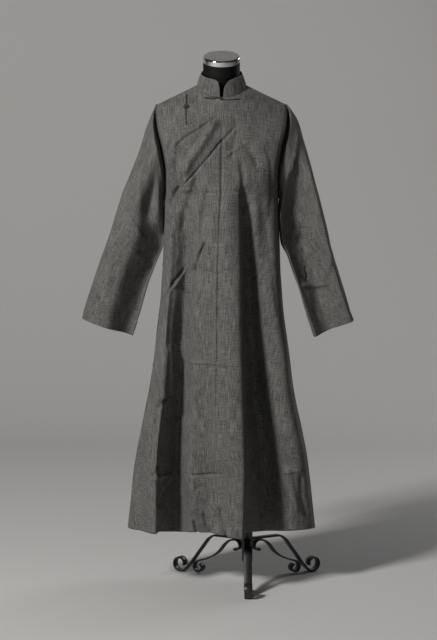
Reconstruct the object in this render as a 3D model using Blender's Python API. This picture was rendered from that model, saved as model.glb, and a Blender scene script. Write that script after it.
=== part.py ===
# Long robe with a standing collar and a curved right-hand overlap, worn by a limbless dress form
# on an iron stand with three scrolled legs. Metres, +Z up, the wearer faces -Y,
# and the wearer's right side lies at -X. Heights are measured from the floor.

import math

import bmesh
import bpy
import numpy as np

CLOTH = 0.002            # thickness of a cloth wall
SEAM = 0.0003            # gap between neighbouring pieces
LAYER = 0.0055           # how far the under front lies inside the overlap
RIGHT, LEFT = -1, 1      # the wearer's sides, as the sign of x

# Neckline, an oval seen from above that dips at the front
NECK_HALF_WIDTH = 0.076
NECK_FRONT = 0.074
NECK_BACK = 0.058
NECK_SIDE_Z = 1.568
NECK_FRONT_DIP = 0.038
NECK_BACK_RISE = 0.010
SHOULDER_X = 0.203
SHOULDER_Z = 1.508

# Skirt and waist, from hem to armpit: level sections
# height, half width, depth at the centre front, depth at the centre back
SKIRT = (
    (0.183, 0.2930, 0.136, 0.150),
    (0.400, 0.2700, 0.134, 0.142),
    (0.620, 0.2270, 0.130, 0.130),
    (0.780, 0.2065, 0.127, 0.121),
    (0.925, 0.1905, 0.124, 0.114),
    (1.075, 0.1820, 0.122, 0.110),
    (1.215, 0.1785, 0.121, 0.109),
)
# Chest and back above the armpit, where a section runs from the centre to the armhole
# centre height, centre y, armhole x, armhole y, armhole height, roundness of the section
CHEST_FRONT = (
    (1.300, -0.122, 0.1765, -0.052, 1.285, 2.6),
    (1.390, -0.119, 0.1890, -0.074, 1.370, 2.4),
    (1.470, -0.100, 0.2050, -0.056, 1.435, 2.0),
)
CHEST_BACK = (
    (1.300, 0.112, 0.1780, 0.052, 1.285, 2.6),
    (1.390, 0.108, 0.1890, 0.074, 1.370, 2.4),
    (1.490, 0.088, 0.2045, 0.058, 1.440, 2.0),
)
# Round the neck, from the centre front over the shoulder to the centre back
# degrees round the neckline, armhole x, armhole y, armhole height, roundness of the section
NECK_ROWS = (
    (0, 0.2085, -0.038, 1.465, 1.6),
    (45, 0.2075, -0.020, 1.488, 1.2),
    (90, SHOULDER_X, 0.000, SHOULDER_Z, 1.0),
    (135, 0.2070, 0.022, 1.490, 1.2),
    (180, 0.2080, 0.042, 1.468, 1.6),
)
SKIRT_ROUNDNESS = 2.3
NECK_STEP = math.radians(NECK_ROWS[1][0])

# Places along a length of cloth: whole numbers are table rows, counted from the front hem
# over the shoulder to the back hem
ARMPIT_FRONT = len(SKIRT) - 1
NECK_START = ARMPIT_FRONT + len(CHEST_FRONT) + 1
SHOULDER = NECK_START + 2
NECK_END = NECK_START + 4
ARMPIT_BACK = NECK_END + len(CHEST_BACK) + 1
BACK_HEM = ARMPIT_BACK + len(SKIRT) - 1

# How finely the walls are cut: rows of the skirt, chest, neck and back, columns of one side
SKIRT_GRID = 9
CHEST_GRID = 7
NECK_GRID = 13
BACK_GRID = 6
OVERLAP_GRID = 8         # rows between the last skirt row and the overlap's upper edge
COLUMNS = 14
FINE_STEPS = 400         # samples for measuring along a curve

# The under front goes inside the overlap and comes back out towards shoulder and armpit
INSET_FULL_PLACE = NECK_START + 0.4
INSET_SIDE_FADE = 0.05   # fraction of the half width

# Hanging folds. Places are fractions of the half width, minus on the wearer's right
# face (front -1, back 1), place at the hem, place at the waist, rise at the hem,
# reach towards -X, reach towards +X
FOLDS = {
    "centre_ridge": (-1, 0.215, 0.310, 0.094, 0.110, 0.026),
    "centre_trough": (-1, 0.360, 0.420, -0.065, 0.040, 0.130),
    "right_ridge": (-1, -0.693, -0.840, 0.034, 0.050, 0.032),
    "right_trough": (-1, -0.530, -0.560, -0.028, 0.040, 0.080),
    "back_right_outer": (1, -0.640, -0.640, 0.034, 0.055, 0.050),
    "back_right_inner": (1, -0.200, -0.200, 0.040, 0.060, 0.045),
    "back_left_inner": (1, 0.290, 0.290, 0.044, 0.050, 0.065),
    "back_left_outer": (1, 0.660, 0.660, 0.036, 0.050, 0.055),
}
FOLD_TOP_Z = 1.28        # folds start here and grow downwards
FOLD_FULL_Z = 0.40       # full depth from here to the hem
FOLD_GROWTH = 0.8
DRIFT_TOP_Z = 0.85       # a fold keeps its waist place above this height
FOLD_SIDE_POWER = 6      # how sharply the folds die out at the side seams

# Upper edge of the overlap, as fraction of the half width and place along the length
OVERLAP_EDGE = (
    (0.00, 10.00),
    (0.25, 10.02),
    (0.50, 9.98),
    (0.60, 9.45),
    (0.70, 8.88),
    (0.80, 8.45),
    (0.88, 7.70),
    (0.94, 6.80),
    (1.00, 5.60),
)

# Sleeves, ring by ring: outer x and height, inner x and height (the wearer's left, mirrored
# for the right), depth in front and behind, depth of the valley down the front
SLEEVE_RIGHT = (
    (0.2226, 1.4810, 0.1834, 1.2133, 0.072, 0.070, 0.000),
    (0.2351, 1.4358, 0.1846, 1.2007, 0.072, 0.070, 0.006),
    (0.2586, 1.3606, 0.1865, 1.1819, 0.070, 0.068, 0.016),
    (0.2837, 1.3010, 0.1881, 1.1600, 0.067, 0.065, 0.022),
    (0.3091, 1.2339, 0.1897, 1.1223, 0.064, 0.062, 0.026),
    (0.3370, 1.1474, 0.1944, 1.0753, 0.060, 0.058, 0.028),
    (0.3640, 1.0659, 0.2085, 1.0095, 0.057, 0.055, 0.026),
    (0.3881, 1.0001, 0.2289, 0.9562, 0.054, 0.052, 0.022),
    (0.4104, 0.9342, 0.2470, 0.8950, 0.051, 0.049, 0.016),
    (0.4286, 0.8778, 0.2649, 0.8339, 0.049, 0.047, 0.012),
    (0.4373, 0.8402, 0.2806, 0.7847, 0.048, 0.046, 0.010),
)
SLEEVE_LEFT = (
    (0.2257, 1.4907, 0.1850, 1.2140, 0.072, 0.070, 0.000),
    (0.2383, 1.4578, 0.1866, 1.2020, 0.072, 0.070, 0.006),
    (0.2586, 1.3938, 0.1872, 1.1860, 0.070, 0.068, 0.014),
    (0.2812, 1.3136, 0.1880, 1.1640, 0.067, 0.065, 0.020),
    (0.3003, 1.2434, 0.1880, 1.1349, 0.064, 0.062, 0.024),
    (0.3292, 1.1302, 0.1910, 1.0822, 0.060, 0.058, 0.026),
    (0.3486, 1.0502, 0.2044, 1.0408, 0.057, 0.055, 0.026),
    (0.3709, 0.9703, 0.2179, 1.0001, 0.054, 0.052, 0.024),
    (0.3934, 0.8966, 0.2398, 0.9383, 0.051, 0.049, 0.018),
    (0.4060, 0.8590, 0.2649, 0.8584, 0.049, 0.047, 0.012),
    (0.4154, 0.8370, 0.2909, 0.7838, 0.048, 0.046, 0.010),
)
VALLEY_PLACE = 0.62      # from the outer to the inner edge of a sleeve
VALLEY_WIDTH = 0.17
ARMHOLE_FADE = 4         # rings over which the pointed armhole turns into a round sleeve

# Standing collar
COLLAR_TOP_HALF_WIDTH = 0.0630
COLLAR_TOP_FRONT = 0.0680
COLLAR_TOP_BACK = 0.0610
COLLAR_TOP_SIDE_Z = 1.6045
COLLAR_TOP_DIP = 0.021
COLLAR_GAP_ANGLE = 4     # degrees from the centre front to each front edge
COLLAR_ROUNDING_ANGLE = 42
COLLAR_CORNER = 0.02     # share of the rounding already done at the front edges
COLLAR_LIFT = 0.0005
COLLAR_ANGLES = (COLLAR_GAP_ANGLE, 9, *range(15, 181, 15))
COLLAR_ROWS = 5

# Knot closures: a cord leg, a knot, and a loop leg that meets it
CORD_WIDTH = 0.0062
CORD_HEIGHT = 0.0030
KNOT_RADIUS = 0.0048
CORD_LIFT = 0.0005
CORD_END = 0.6           # width at a sewn or looped end, as a share of the cord's
KNOT_RINGS = (0.75, 1.0, 0.6)
KNOT_FLATNESS = 0.8
CORD_SIDES = 8
FRONT_CORD_STEPS = 9
# side, whether it ends in the knot, then rows from its sewn end:
# distance from the centre plane, place along the length, depth below the outer cloth
FRONT_CORDS = {
    "collar_knot": (RIGHT, True, (
        (0.052, 10.55, 0.0048), (0.034, 10.36, 0.0048), (0.018, 10.14, 0.0), (0.001, 9.84, 0.0))),
    "collar_loop": (LEFT, False, (
        (0.054, 10.50, 0.0004), (0.030, 10.20, 0.0004), (0.010, 9.86, 0.0))),
    "shoulder_knot": (RIGHT, True, (
        (0.109, 11.55, 0.0014), (0.109, 10.90, 0.0036), (0.109, 10.22, 0.0048))),
    "shoulder_loop": (RIGHT, False, (
        (0.109, 8.90, 0.0004), (0.109, 9.30, 0.0004), (0.109, 9.80, 0.0004))),
}
SIDE_CLOSURES = {"underarm": 1.165, "waist": 1.010, "hip": 0.850, "thigh": 0.690}
SIDE_CORD_REACH = (0.935, 0.993)   # fractions of the half width
SIDE_CORD_STEPS = 8
SKIRT_ROW_HEIGHT = 0.15  # about one row of the skirt table, to step to a height
HEIGHT_STEPS = 12

# Dress form: height, half width, depth in front, depth behind, roundness
FORM = (
    (0.8750, 0.1280, 0.0700, 0.0820, 2.3),
    (0.8850, 0.1390, 0.0780, 0.0920, 2.3),
    (0.9500, 0.1470, 0.0840, 0.0960, 2.3),
    (1.0500, 0.1380, 0.0880, 0.0880, 2.2),
    (1.1500, 0.1460, 0.0960, 0.0900, 2.2),
    (1.2500, 0.1570, 0.1010, 0.0930, 2.2),
    (1.3300, 0.1610, 0.1000, 0.0930, 2.2),
    (1.4200, 0.1680, 0.0880, 0.0860, 2.1),
    (1.4800, 0.1730, 0.0740, 0.0740, 1.9),
    (1.5050, 0.1690, 0.0620, 0.0640, 1.5),
    (1.5200, 0.1710, 0.0560, 0.0580, 1.2),
    (1.5350, 0.1400, 0.0500, 0.0520, 1.1),
    (1.5500, 0.1040, 0.0460, 0.0480, 1.1),
    (1.5600, 0.0700, 0.0480, 0.0470, 1.3),
    (1.5720, 0.0590, 0.0520, 0.0480, 1.7),
    (1.5950, 0.0572, 0.0565, 0.0540, 2.0),
)
FORM_SIDES = 28
UNDER_CLOTH = 0.0026     # from the outside of the shoulder cloth down to the form
NECK_RADIUS = 0.0575
NECK_TOP_Z = 1.6400
NECK_TILT = math.radians(20)
CAP_THICKNESS = 0.019
CAP_EDGE = 0.006
CAP_EDGE_STEPS = 4
CAP_SIDES = 32

# Iron stand, whose pole stands off the robe's centre under the wearer's left leg
POLE_X = 0.082
POLE_RADIUS = 0.0125
HUB_RADIUS = 0.017
HUB_BOTTOM_Z = 0.060
HUB_TOP_Z = 0.178
SCREW_Z = 0.1645
SCREW_REACH = 0.044
SCREW_RADIUS = 0.0035
GRIP_RADIUS = 0.0075
GRIP_LENGTH = 0.016
GRIP_STEP = 0.0005
SCREW_SIDES = 12
POLE_SIDES = 24
STRAP_WIDTH = 0.025
STRAP_THICKNESS = 0.005
LEG_ANGLES = {"front": -90, "right": 150, "left": 30}
STRAP_TOP_Z = 0.1330
# Distance from the pole's axis, height
LEG_RUN = (
    (HUB_RADIUS + SEAM, STRAP_TOP_Z),
    (0.0700, STRAP_TOP_Z),
    (0.1160, 0.1325),
    (0.1360, 0.1230),
    (0.1660, 0.0860),
    (0.2060, 0.0320),
)
LEG_STEPS = 14
BRACE_RUN = (
    (0.0650, 0.1215),
    (0.0800, 0.1080),
    (0.1030, 0.0800),
    (0.1300, 0.0610),
    (0.1600, 0.0485),
)
BRACE_STEPS = 11
# Scrolls: centre's distance and height, first and last angle in degrees, first and last radius,
# number of points
LEG_SCROLL = (0.2460, 0.0272, -130, 200, 0.0265, 0.0150, 23)
BRACE_CURL = (0.0400, 0.1057, 300, 90, 0.0100, 0.0220, 13)
BRACE_ROLL = (0.1760, 0.0224, 75, -250, 0.0200, 0.0110, 18)
SMOOTH_ANGLE = 40
STRAP_SMOOTH_ANGLE = 30

COLOURS = {
    "wool": (0.115, 0.112, 0.106, 0.9, 0.0),
    "cord": (0.030, 0.030, 0.032, 0.8, 0.0),
    "form": (0.012, 0.012, 0.013, 0.6, 0.0),
    "chrome": (0.70, 0.70, 0.70, 0.12, 1.0),
    "iron": (0.020, 0.020, 0.021, 0.4, 0.6),
}


def clear_scene():
    for thing in list(bpy.data.objects):
        bpy.data.objects.remove(thing)


def make_material(name):
    red, green, blue, roughness, metallic = COLOURS[name]
    material = bpy.data.materials.new(name)
    material.use_nodes = True
    shader = material.node_tree.nodes["Principled BSDF"]
    shader.inputs["Base Color"].default_value = (red, green, blue, 1.0)
    shader.inputs["Roughness"].default_value = roughness
    shader.inputs["Metallic"].default_value = metallic
    return material


def add_solid(name, points, faces, material, smooth_angle=SMOOTH_ANGLE):
    mesh = bpy.data.meshes.new(name)
    mesh.from_pydata([tuple(p) for p in points], [], faces)
    solid = bmesh.new()
    solid.from_mesh(mesh)
    if solid.calc_volume(signed=True) < 0:
        bmesh.ops.reverse_faces(solid, faces=solid.faces)
    solid.to_mesh(mesh)
    solid.free()
    mesh.shade_smooth()
    mesh.set_sharp_from_angle(angle=math.radians(smooth_angle))
    mesh.materials.append(material)
    thing = bpy.data.objects.new(name, mesh)
    bpy.context.collection.objects.link(thing)
    return thing


def split_quad(a, b, c, d):
    return [(a, b, c), (a, c, d)]


def grid_faces(rows, columns, closed, start=0):
    # triangles of a grid of points, with the same diagonal in every cell
    faces = []
    for row in range(rows - 1):
        for column in range(columns if closed else columns - 1):
            following = (column + 1) % columns
            here = start + row * columns
            above = here + columns
            faces += split_quad(here + column, here + following, above + following, above + column)
    return faces


def border(rows, columns, closed):
    # point numbers along the open edges of a grid, each as one chain
    first = list(range(columns))
    last = [(rows - 1) * columns + column for column in range(columns)]
    if closed:
        return [first + first[:1], last[::-1] + last[-1:]]
    right = [row * columns + columns - 1 for row in range(rows)]
    left = [row * columns for row in range(rows)]
    return [first[:-1] + right[:-1] + last[::-1][:-1] + left[::-1]]


def cloth_solid(name, outer, inner, closed, material):
    # a wall between two grids of points, closed along its edges
    rows, columns = outer.shape[:2]
    count = rows * columns
    points = np.vstack([outer.reshape(-1, 3), inner.reshape(-1, 3)])
    faces = grid_faces(rows, columns, closed)
    faces += [face[::-1] for face in grid_faces(rows, columns, closed, count)]
    for chain in border(rows, columns, closed):
        for a, b in zip(chain, chain[1:]):
            faces += split_quad(b, a, a + count, b + count)
    return add_solid(name, points, faces, material)


def unit(vectors):
    return vectors / np.linalg.norm(vectors, axis=-1, keepdims=True)


def through(rows, place):
    # smooth curve through the rows of a table that never swings past them
    rows = np.asarray(rows, float)
    place = np.asarray(place, float)
    step = np.diff(rows, axis=0)
    before, after = step[:-1], step[1:]
    same_way = before * after > 0
    total = np.where(same_way, before + after, 1.0)
    middle = np.where(same_way, 2 * before * after / total, 0.0)
    slope = np.vstack([step[:1], middle, step[-1:]])
    index = np.clip(np.floor(place).astype(int), 0, len(rows) - 2)
    u = (place - index)[..., None]
    return (
        rows[index] * (1 + 2 * u) * (1 - u) ** 2
        + slope[index] * u * (1 - u) ** 2
        + rows[index + 1] * u**2 * (3 - 2 * u)
        + slope[index + 1] * u**2 * (u - 1)
    )


def neckline(angle):
    # a point of the neckline, x always positive; 0 is the centre front, pi the centre back
    forward = np.cos(angle)
    front = forward > 0
    x = NECK_HALF_WIDTH * np.sin(angle)
    y = -forward * np.where(front, NECK_FRONT, NECK_BACK)
    z = NECK_SIDE_Z - forward * np.where(front, NECK_FRONT_DIP, NECK_BACK_RISE)
    return np.stack([x, y, z], axis=-1)


def length_table():
    # one row for each station: centre x, y, z, side x, y, z, roundness
    front = [(0, -deep, z, wide, 0, z, SKIRT_ROUNDNESS) for z, wide, deep, _ in SKIRT]
    front += [(0, cy, cz, x, y, z, bend) for cz, cy, x, y, z, bend in CHEST_FRONT]
    neck = []
    for degrees, x, y, z, bend in NECK_ROWS:
        centre = neckline(math.radians(degrees))
        neck.append((*centre, x, y, z, bend))
    back = [(0, cy, cz, x, y, z, bend) for cz, cy, x, y, z, bend in reversed(CHEST_BACK)]
    back += [(0, deep, z, wide, 0, z, SKIRT_ROUNDNESS) for z, wide, _, deep in reversed(SKIRT)]
    return np.array(front + neck + back)


LENGTH = length_table()


def fold_place(fold, z):
    _, hem, waist = FOLDS[fold][:3]
    up = np.clip((z - SKIRT[0][0]) / (DRIFT_TOP_Z - SKIRT[0][0]), 0, 1)
    return hem + (waist - hem) * up


def fold_rise(face, fraction, half_width, z):
    # how far the hanging folds push the cloth away from the body, at signed fractions
    growth = np.clip((FOLD_TOP_Z - z) / (FOLD_TOP_Z - FOLD_FULL_Z), 0, 1) ** FOLD_GROWTH
    total = np.zeros(np.broadcast(fraction, z).shape)
    for fold, (side, _, _, rise, reach_minus, reach_plus) in FOLDS.items():
        away = (fraction - fold_place(fold, z)) * half_width
        reach = np.where(away < 0, reach_minus, reach_plus)
        bump = 0.5 * (1 + np.cos(np.pi * np.clip(away / reach, -1, 1)))
        total += np.where(face == side, rise * growth * bump, 0.0)
    return total * (1 - np.abs(fraction) ** FOLD_SIDE_POWER)


def robe_fraction(side, column, face, z):
    # columns follow the largest front fold of their side, wherever it drifts
    ridge = "right_ridge" if side == RIGHT else "centre_ridge"
    still = abs(FOLDS[ridge][1])
    moved = np.where(face < 0, np.abs(fold_place(ridge, z)), still)
    inside = column * moved / still
    outside = 1 - (1 - column) * (1 - moved) / (1 - still)
    return np.where(column < still, inside, outside)


def robe_point(side, column, place):
    # the outside of the robe: column 0 to 1 from centre to side, place along the length
    column, place = np.broadcast_arrays(np.asarray(column, float), np.asarray(place, float))
    row = through(LENGTH, place)
    centre, edge, bend = row[..., :3], row[..., 3:6], row[..., 6]
    face = np.where(place < SHOULDER, -1, 1)
    in_neck = (place >= NECK_START) & (place <= NECK_END)
    round_neck = neckline(NECK_STEP * (np.clip(place, NECK_START, NECK_END) - NECK_START))
    centre = np.where(in_neck[..., None], round_neck, centre)

    fraction = robe_fraction(side, column, face, centre[..., 2])
    x = centre[..., 0] + (edge[..., 0] - centre[..., 0]) * fraction
    z = centre[..., 2] + (edge[..., 2] - centre[..., 2]) * fraction
    curve = np.clip(1 - np.abs(fraction) ** bend, 0, 1) ** (1 / bend)
    y = edge[..., 1] + (centre[..., 1] - edge[..., 1]) * curve
    y = y + face * fold_rise(face, side * fraction, edge[..., 0], z)
    return np.stack([side * x, y, z], axis=-1)


def even_columns(side, face, count):
    # columns spaced evenly along the folded hem, crowded where the hem turns sharply
    fine = np.linspace(0, 1, FINE_STEPS)
    hem = robe_point(side, fine, 0.0 if face < 0 else float(BACK_HEM))
    run = np.concatenate([[0], np.cumsum(np.linalg.norm(np.diff(hem, axis=0), axis=1))])
    return np.interp(np.linspace(0, run[-1], count), run, fine)


def grid_normals(grid, closed=False):
    if closed:
        across = np.roll(grid, -1, axis=1) - np.roll(grid, 1, axis=1)
    else:
        across = np.gradient(grid, axis=1)
    along = np.gradient(grid, axis=0)
    return unit(np.cross(across, along))


def facing_out(grid, normals, centre_x=0.0):
    # turn the normals so that, taken together, they point away from the body's axis
    axis = np.array([centre_x, 0.0, 0.0])
    away = (grid - axis) * np.array([1.0, 1.0, 0.0])
    return normals if np.sum(away * normals) > 0 else -normals


def pull_in(grid, distance, first=True, last=True):
    # take half a seam's gap off the two long edges
    grid = grid.copy()
    if first:
        grid[:, 0] += distance * unit(grid[:, 1] - grid[:, 0])
    if last:
        grid[:, -1] += distance * unit(grid[:, -2] - grid[:, -1])
    return grid


def flatten_normals(normals, column, axis):
    # along a seam the wall's edge stays in the seam's own plane
    normals[:, column, axis] = 0.0
    normals[:, column] = unit(normals[:, column])


SKIRT_PLACES = np.linspace(0, ARMPIT_FRONT, SKIRT_GRID)
LENGTH_PLACES = np.concatenate([
    SKIRT_PLACES,
    np.linspace(ARMPIT_FRONT, NECK_START, CHEST_GRID)[1:],
    np.linspace(NECK_START, NECK_END, NECK_GRID)[1:],
    np.linspace(NECK_END, ARMPIT_BACK, BACK_GRID)[1:],
    np.linspace(ARMPIT_BACK, BACK_HEM, SKIRT_GRID)[1:],
])


def body_walls(side):
    # front and back of one side in one length of cloth, with no seam on the shoulder
    front = even_columns(side, -1, COLUMNS)
    back = even_columns(side, 1, COLUMNS)
    over = np.clip((LENGTH_PLACES - NECK_START) / (NECK_END - NECK_START), 0, 1)[:, None]
    columns = front[None, :] * (1 - over) + back[None, :] * over
    places = np.repeat(LENGTH_PLACES[:, None], COLUMNS, axis=1)
    outer = robe_point(side, columns, places)
    normals = facing_out(outer, grid_normals(outer))
    below_neck = (LENGTH_PLACES <= NECK_START) | (LENGTH_PLACES >= NECK_END)
    normals[below_neck, 0, 0] = 0.0
    in_skirt = (LENGTH_PLACES <= ARMPIT_FRONT) | (LENGTH_PLACES >= ARMPIT_BACK)
    normals[in_skirt, -1, 1] = 0.0
    normals = unit(normals)
    outer = pull_in(outer, SEAM / 2)
    if side == RIGHT:
        fade = np.clip((SHOULDER - LENGTH_PLACES) / (SHOULDER - INSET_FULL_PLACE), 0, 1)
        fade = np.repeat(fade[:, None], COLUMNS, axis=1)
        by_armpit = LENGTH_PLACES > OVERLAP_EDGE[-1][1]
        fade[by_armpit] *= np.clip((1 - columns[by_armpit]) / INSET_SIDE_FADE, 0, 1)
        outer = outer - LAYER * fade[..., None] * normals
    at_armhole = ~in_skirt
    at_armhole[[at_armhole.argmax() - 1, -1 - at_armhole[::-1].argmax() + 1]] = True
    hole_centre = np.array([side * SHOULDER_X, 0.0, (SHOULDER_Z + SKIRT[-1][0]) / 2])
    edge = outer[at_armhole, -1]
    normals[at_armhole, -1] = unit(normals[at_armhole, -1] + unit(edge - hole_centre))
    return outer, outer - CLOTH * normals


def overlap_walls():
    # the outer right front, joined at the centre seam and cut to a curve at the top
    columns = even_columns(RIGHT, -1, COLUMNS)
    edge_table = np.array(OVERLAP_EDGE)
    skirt = SKIRT_PLACES[:-1]
    last = skirt[-1]
    fractions = robe_fraction(RIGHT, columns, -1, CHEST_FRONT[0][0])
    top = np.interp(np.clip(fractions, 0, 1), edge_table[:, 0], edge_table[:, 1])
    steps = np.linspace(0, 1, OVERLAP_GRID)[1:, None]
    upper = last + (top[None, :] - last) * steps
    places = np.vstack([np.repeat(skirt[:, None], COLUMNS, axis=1), upper])
    outer = robe_point(RIGHT, columns[None, :], places)
    normals = facing_out(outer, grid_normals(outer))
    flatten_normals(normals, 0, 0)
    flatten_normals(normals, -1, 1)
    outer = pull_in(outer, SEAM / 2)
    return outer, outer - CLOTH * normals


def armhole(outer, inner):
    # the loop of cloth at the shoulder that a sleeve is sewn to, from the armpit up the front
    keep = (LENGTH_PLACES >= ARMPIT_FRONT) & (LENGTH_PLACES <= ARMPIT_BACK)
    loops = []
    for wall in (outer, inner):
        edge = wall[keep, -1]
        edge[0] = (edge[0] + edge[-1]) / 2
        loops.append(edge[:-1])
    top = np.flatnonzero(LENGTH_PLACES[keep] == SHOULDER)[0]
    return loops[0], loops[1], int(top)


def sleeve_walls(side, table, loops):
    outer_loop, inner_loop, top = loops
    count = len(outer_loop)
    run = np.concatenate([[0], np.cumsum(np.linalg.norm(np.diff(
        np.vstack([outer_loop, outer_loop[:1]]), axis=0), axis=1))])
    turn = np.empty(count)
    turn[: top + 1] = math.pi * run[: top + 1] / run[top]
    turn[top:] = math.pi * (1 + (run[top:count] - run[top]) / (run[-1] - run[top]))
    along = np.roll(outer_loop, -1, axis=0) - np.roll(outer_loop, 1, axis=0)
    step = unit(np.cross(along, inner_loop - outer_loop))
    step *= SEAM * side * np.sign(step[:, :1])
    start = outer_loop + step
    rings = []
    for row, (outer_x, outer_z, inner_x, inner_z, front, back, valley) in enumerate(table):
        pointed = max(0.0, 1 - row / ARMHOLE_FADE)
        across = pointed * (1 - np.abs(turn / math.pi - 1)) + (1 - pointed) * (1 - np.cos(turn)) / 2
        x = inner_x + (outer_x - inner_x) * across
        z = inner_z + (outer_z - inner_z) * across
        y = -np.sin(turn) * np.where(turn < math.pi, front, back)
        dent = np.exp(-(((1 - across) - VALLEY_PLACE) / VALLEY_WIDTH) ** 2)
        y = y + np.where(turn < math.pi, valley * dent * np.sin(turn), 0)
        rings.append(np.stack([side * x, y, z], axis=-1))
    outer = np.array([start, (start + rings[0]) / 2, *rings])
    normals = grid_normals(outer, closed=True)
    middle = outer.mean(axis=1, keepdims=True)
    if np.sum((outer - middle) * normals) < 0:
        normals = -normals
    inner = outer - CLOTH * normals
    inner[0] = inner_loop + step
    return outer, inner


def collar_point(angle, up):
    # angle from the centre front, minus on the wearer's right; up 0 at the neckline, 1 at the top
    turn = np.abs(angle)
    base = neckline(turn)
    forward = np.cos(turn)
    top = np.stack([
        COLLAR_TOP_HALF_WIDTH * np.sin(turn),
        -forward * np.where(forward > 0, COLLAR_TOP_FRONT, COLLAR_TOP_BACK),
        COLLAR_TOP_SIDE_Z - COLLAR_TOP_DIP * forward,
    ], axis=-1)
    point = base + (top - base) * up[..., None]
    point[..., 0] *= np.sign(angle)
    point[..., 2] += COLLAR_LIFT
    return point


def collar_walls():
    turns = np.radians(COLLAR_ANGLES)
    angles = np.concatenate([-turns, turns[::-1][1:]])
    past_gap = (np.abs(angles) - turns[0]) / math.radians(COLLAR_ROUNDING_ANGLE)
    rounding = np.sqrt(1 - (1 - np.clip(past_gap, COLLAR_CORNER, 1)) ** 2)
    up = np.linspace(0, 1, COLLAR_ROWS)[:, None] * rounding[None, :]
    outer = collar_point(np.repeat(angles[None, :], COLLAR_ROWS, axis=0), up)
    normals = facing_out(outer, grid_normals(outer))
    return outer, outer - CLOTH * normals


def surface_frame(side, column, place):
    # a point of the robe and the direction out of the cloth there
    small = 0.01
    here = robe_point(side, column, place)
    across = robe_point(side, column + small, place) - robe_point(side, column - small, place)
    along = robe_point(side, column, place + small) - robe_point(side, column, place - small)
    out = unit(np.cross(across, along))
    away = here * np.array([1.0, 1.0, 0.0])
    sign = np.where(np.sum(away * out, axis=-1) < 0, -1.0, 1.0)
    return here, out * sign[..., None]


def cord_solid(name, centres, outs, knot, material):
    # a flat cord that lies on the cloth and may end in a round knot
    count = len(centres)
    half_width = np.full(count, CORD_WIDTH / 2)
    half_height = np.full(count, CORD_HEIGHT / 2)
    half_width[0] *= CORD_END
    half_height[0] *= CORD_END
    if knot:
        rings = KNOT_RADIUS * np.array(KNOT_RINGS)
        half_width[-len(rings):] = rings
        half_height[-len(rings):] = rings * KNOT_FLATNESS
    else:
        half_width[-1] *= CORD_END
        half_height[-1] *= CORD_END
    tangents = unit(np.gradient(centres, axis=0))
    across = unit(np.cross(tangents, outs))
    lifted = centres + outs * (half_height + CORD_LIFT)[:, None]
    turn = np.linspace(0, 2 * math.pi, CORD_SIDES, endpoint=False)
    rings = (
        lifted[:, None]
        + across[:, None] * (half_width[:, None] * np.cos(turn))[..., None]
        + outs[:, None] * (half_height[:, None] * np.sin(turn))[..., None]
    )
    return tube_solid(name, rings, material)


def tube_solid(name, rings, material, smooth_angle=SMOOTH_ANGLE):
    # a solid skinned over closed rings of points, with flat ends
    rows, columns = rings.shape[:2]
    faces = grid_faces(rows, columns, True)
    last = (rows - 1) * columns
    for column in range(1, columns - 1):
        faces.append((0, column + 1, column))
        faces.append((last, last + column, last + column + 1))
    return add_solid(name, rings.reshape(-1, 3), faces, material, smooth_angle)


def column_at(side, x, place):
    # the column whose point at this place has the given distance from the centre plane
    fine = np.linspace(0, 1, FINE_STEPS)
    return np.interp(x, np.abs(robe_point(side, fine, place)[:, 0]), fine)


def front_cord(name, side, stations, knot, material):
    path = through(stations, np.linspace(0, len(stations) - 1, FRONT_CORD_STEPS))
    columns = np.array([column_at(side, x, place) for x, place, _ in path])
    here, out = surface_frame(side, columns, path[:, 1])
    return cord_solid(name, here - path[:, 2:] * out, out, knot, material)


def side_cord(name, z, face, knot, material):
    # across the side seam at the wearer's right, on the front or the back
    reach = np.linspace(*SIDE_CORD_REACH, SIDE_CORD_STEPS)
    heights = LENGTH[:ARMPIT_FRONT + 1, 2]
    place = np.interp(z, heights, np.arange(ARMPIT_FRONT + 1))
    for _ in range(HEIGHT_STEPS):
        place += (z - robe_point(RIGHT, 0.0, place)[2]) / SKIRT_ROW_HEIGHT
    if face > 0:
        place = BACK_HEM - place
    here, out = surface_frame(RIGHT, reach, np.full(SIDE_CORD_STEPS, place))
    return cord_solid(name, here, out, knot, material)


def add_closures(cord):
    for name, (side, knot, stations) in FRONT_CORDS.items():
        front_cord(name, side, stations, knot, cord)
    for name, z in SIDE_CLOSURES.items():
        side_cord(name + "_loop", z, -1, False, cord)
        side_cord(name + "_knot", z, 1, True, cord)


def add_robe(wool):
    right = body_walls(RIGHT)
    left = body_walls(LEFT)
    cloth_solid("body_right", *right, False, wool)
    cloth_solid("body_left", *left, False, wool)
    cloth_solid("overlap_front", *overlap_walls(), False, wool)
    cloth_solid("sleeve_right", *sleeve_walls(RIGHT, SLEEVE_RIGHT, armhole(*right)), True, wool)
    cloth_solid("sleeve_left", *sleeve_walls(LEFT, SLEEVE_LEFT, armhole(*left)), True, wool)
    cloth_solid("collar", *collar_walls(), False, wool)


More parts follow.
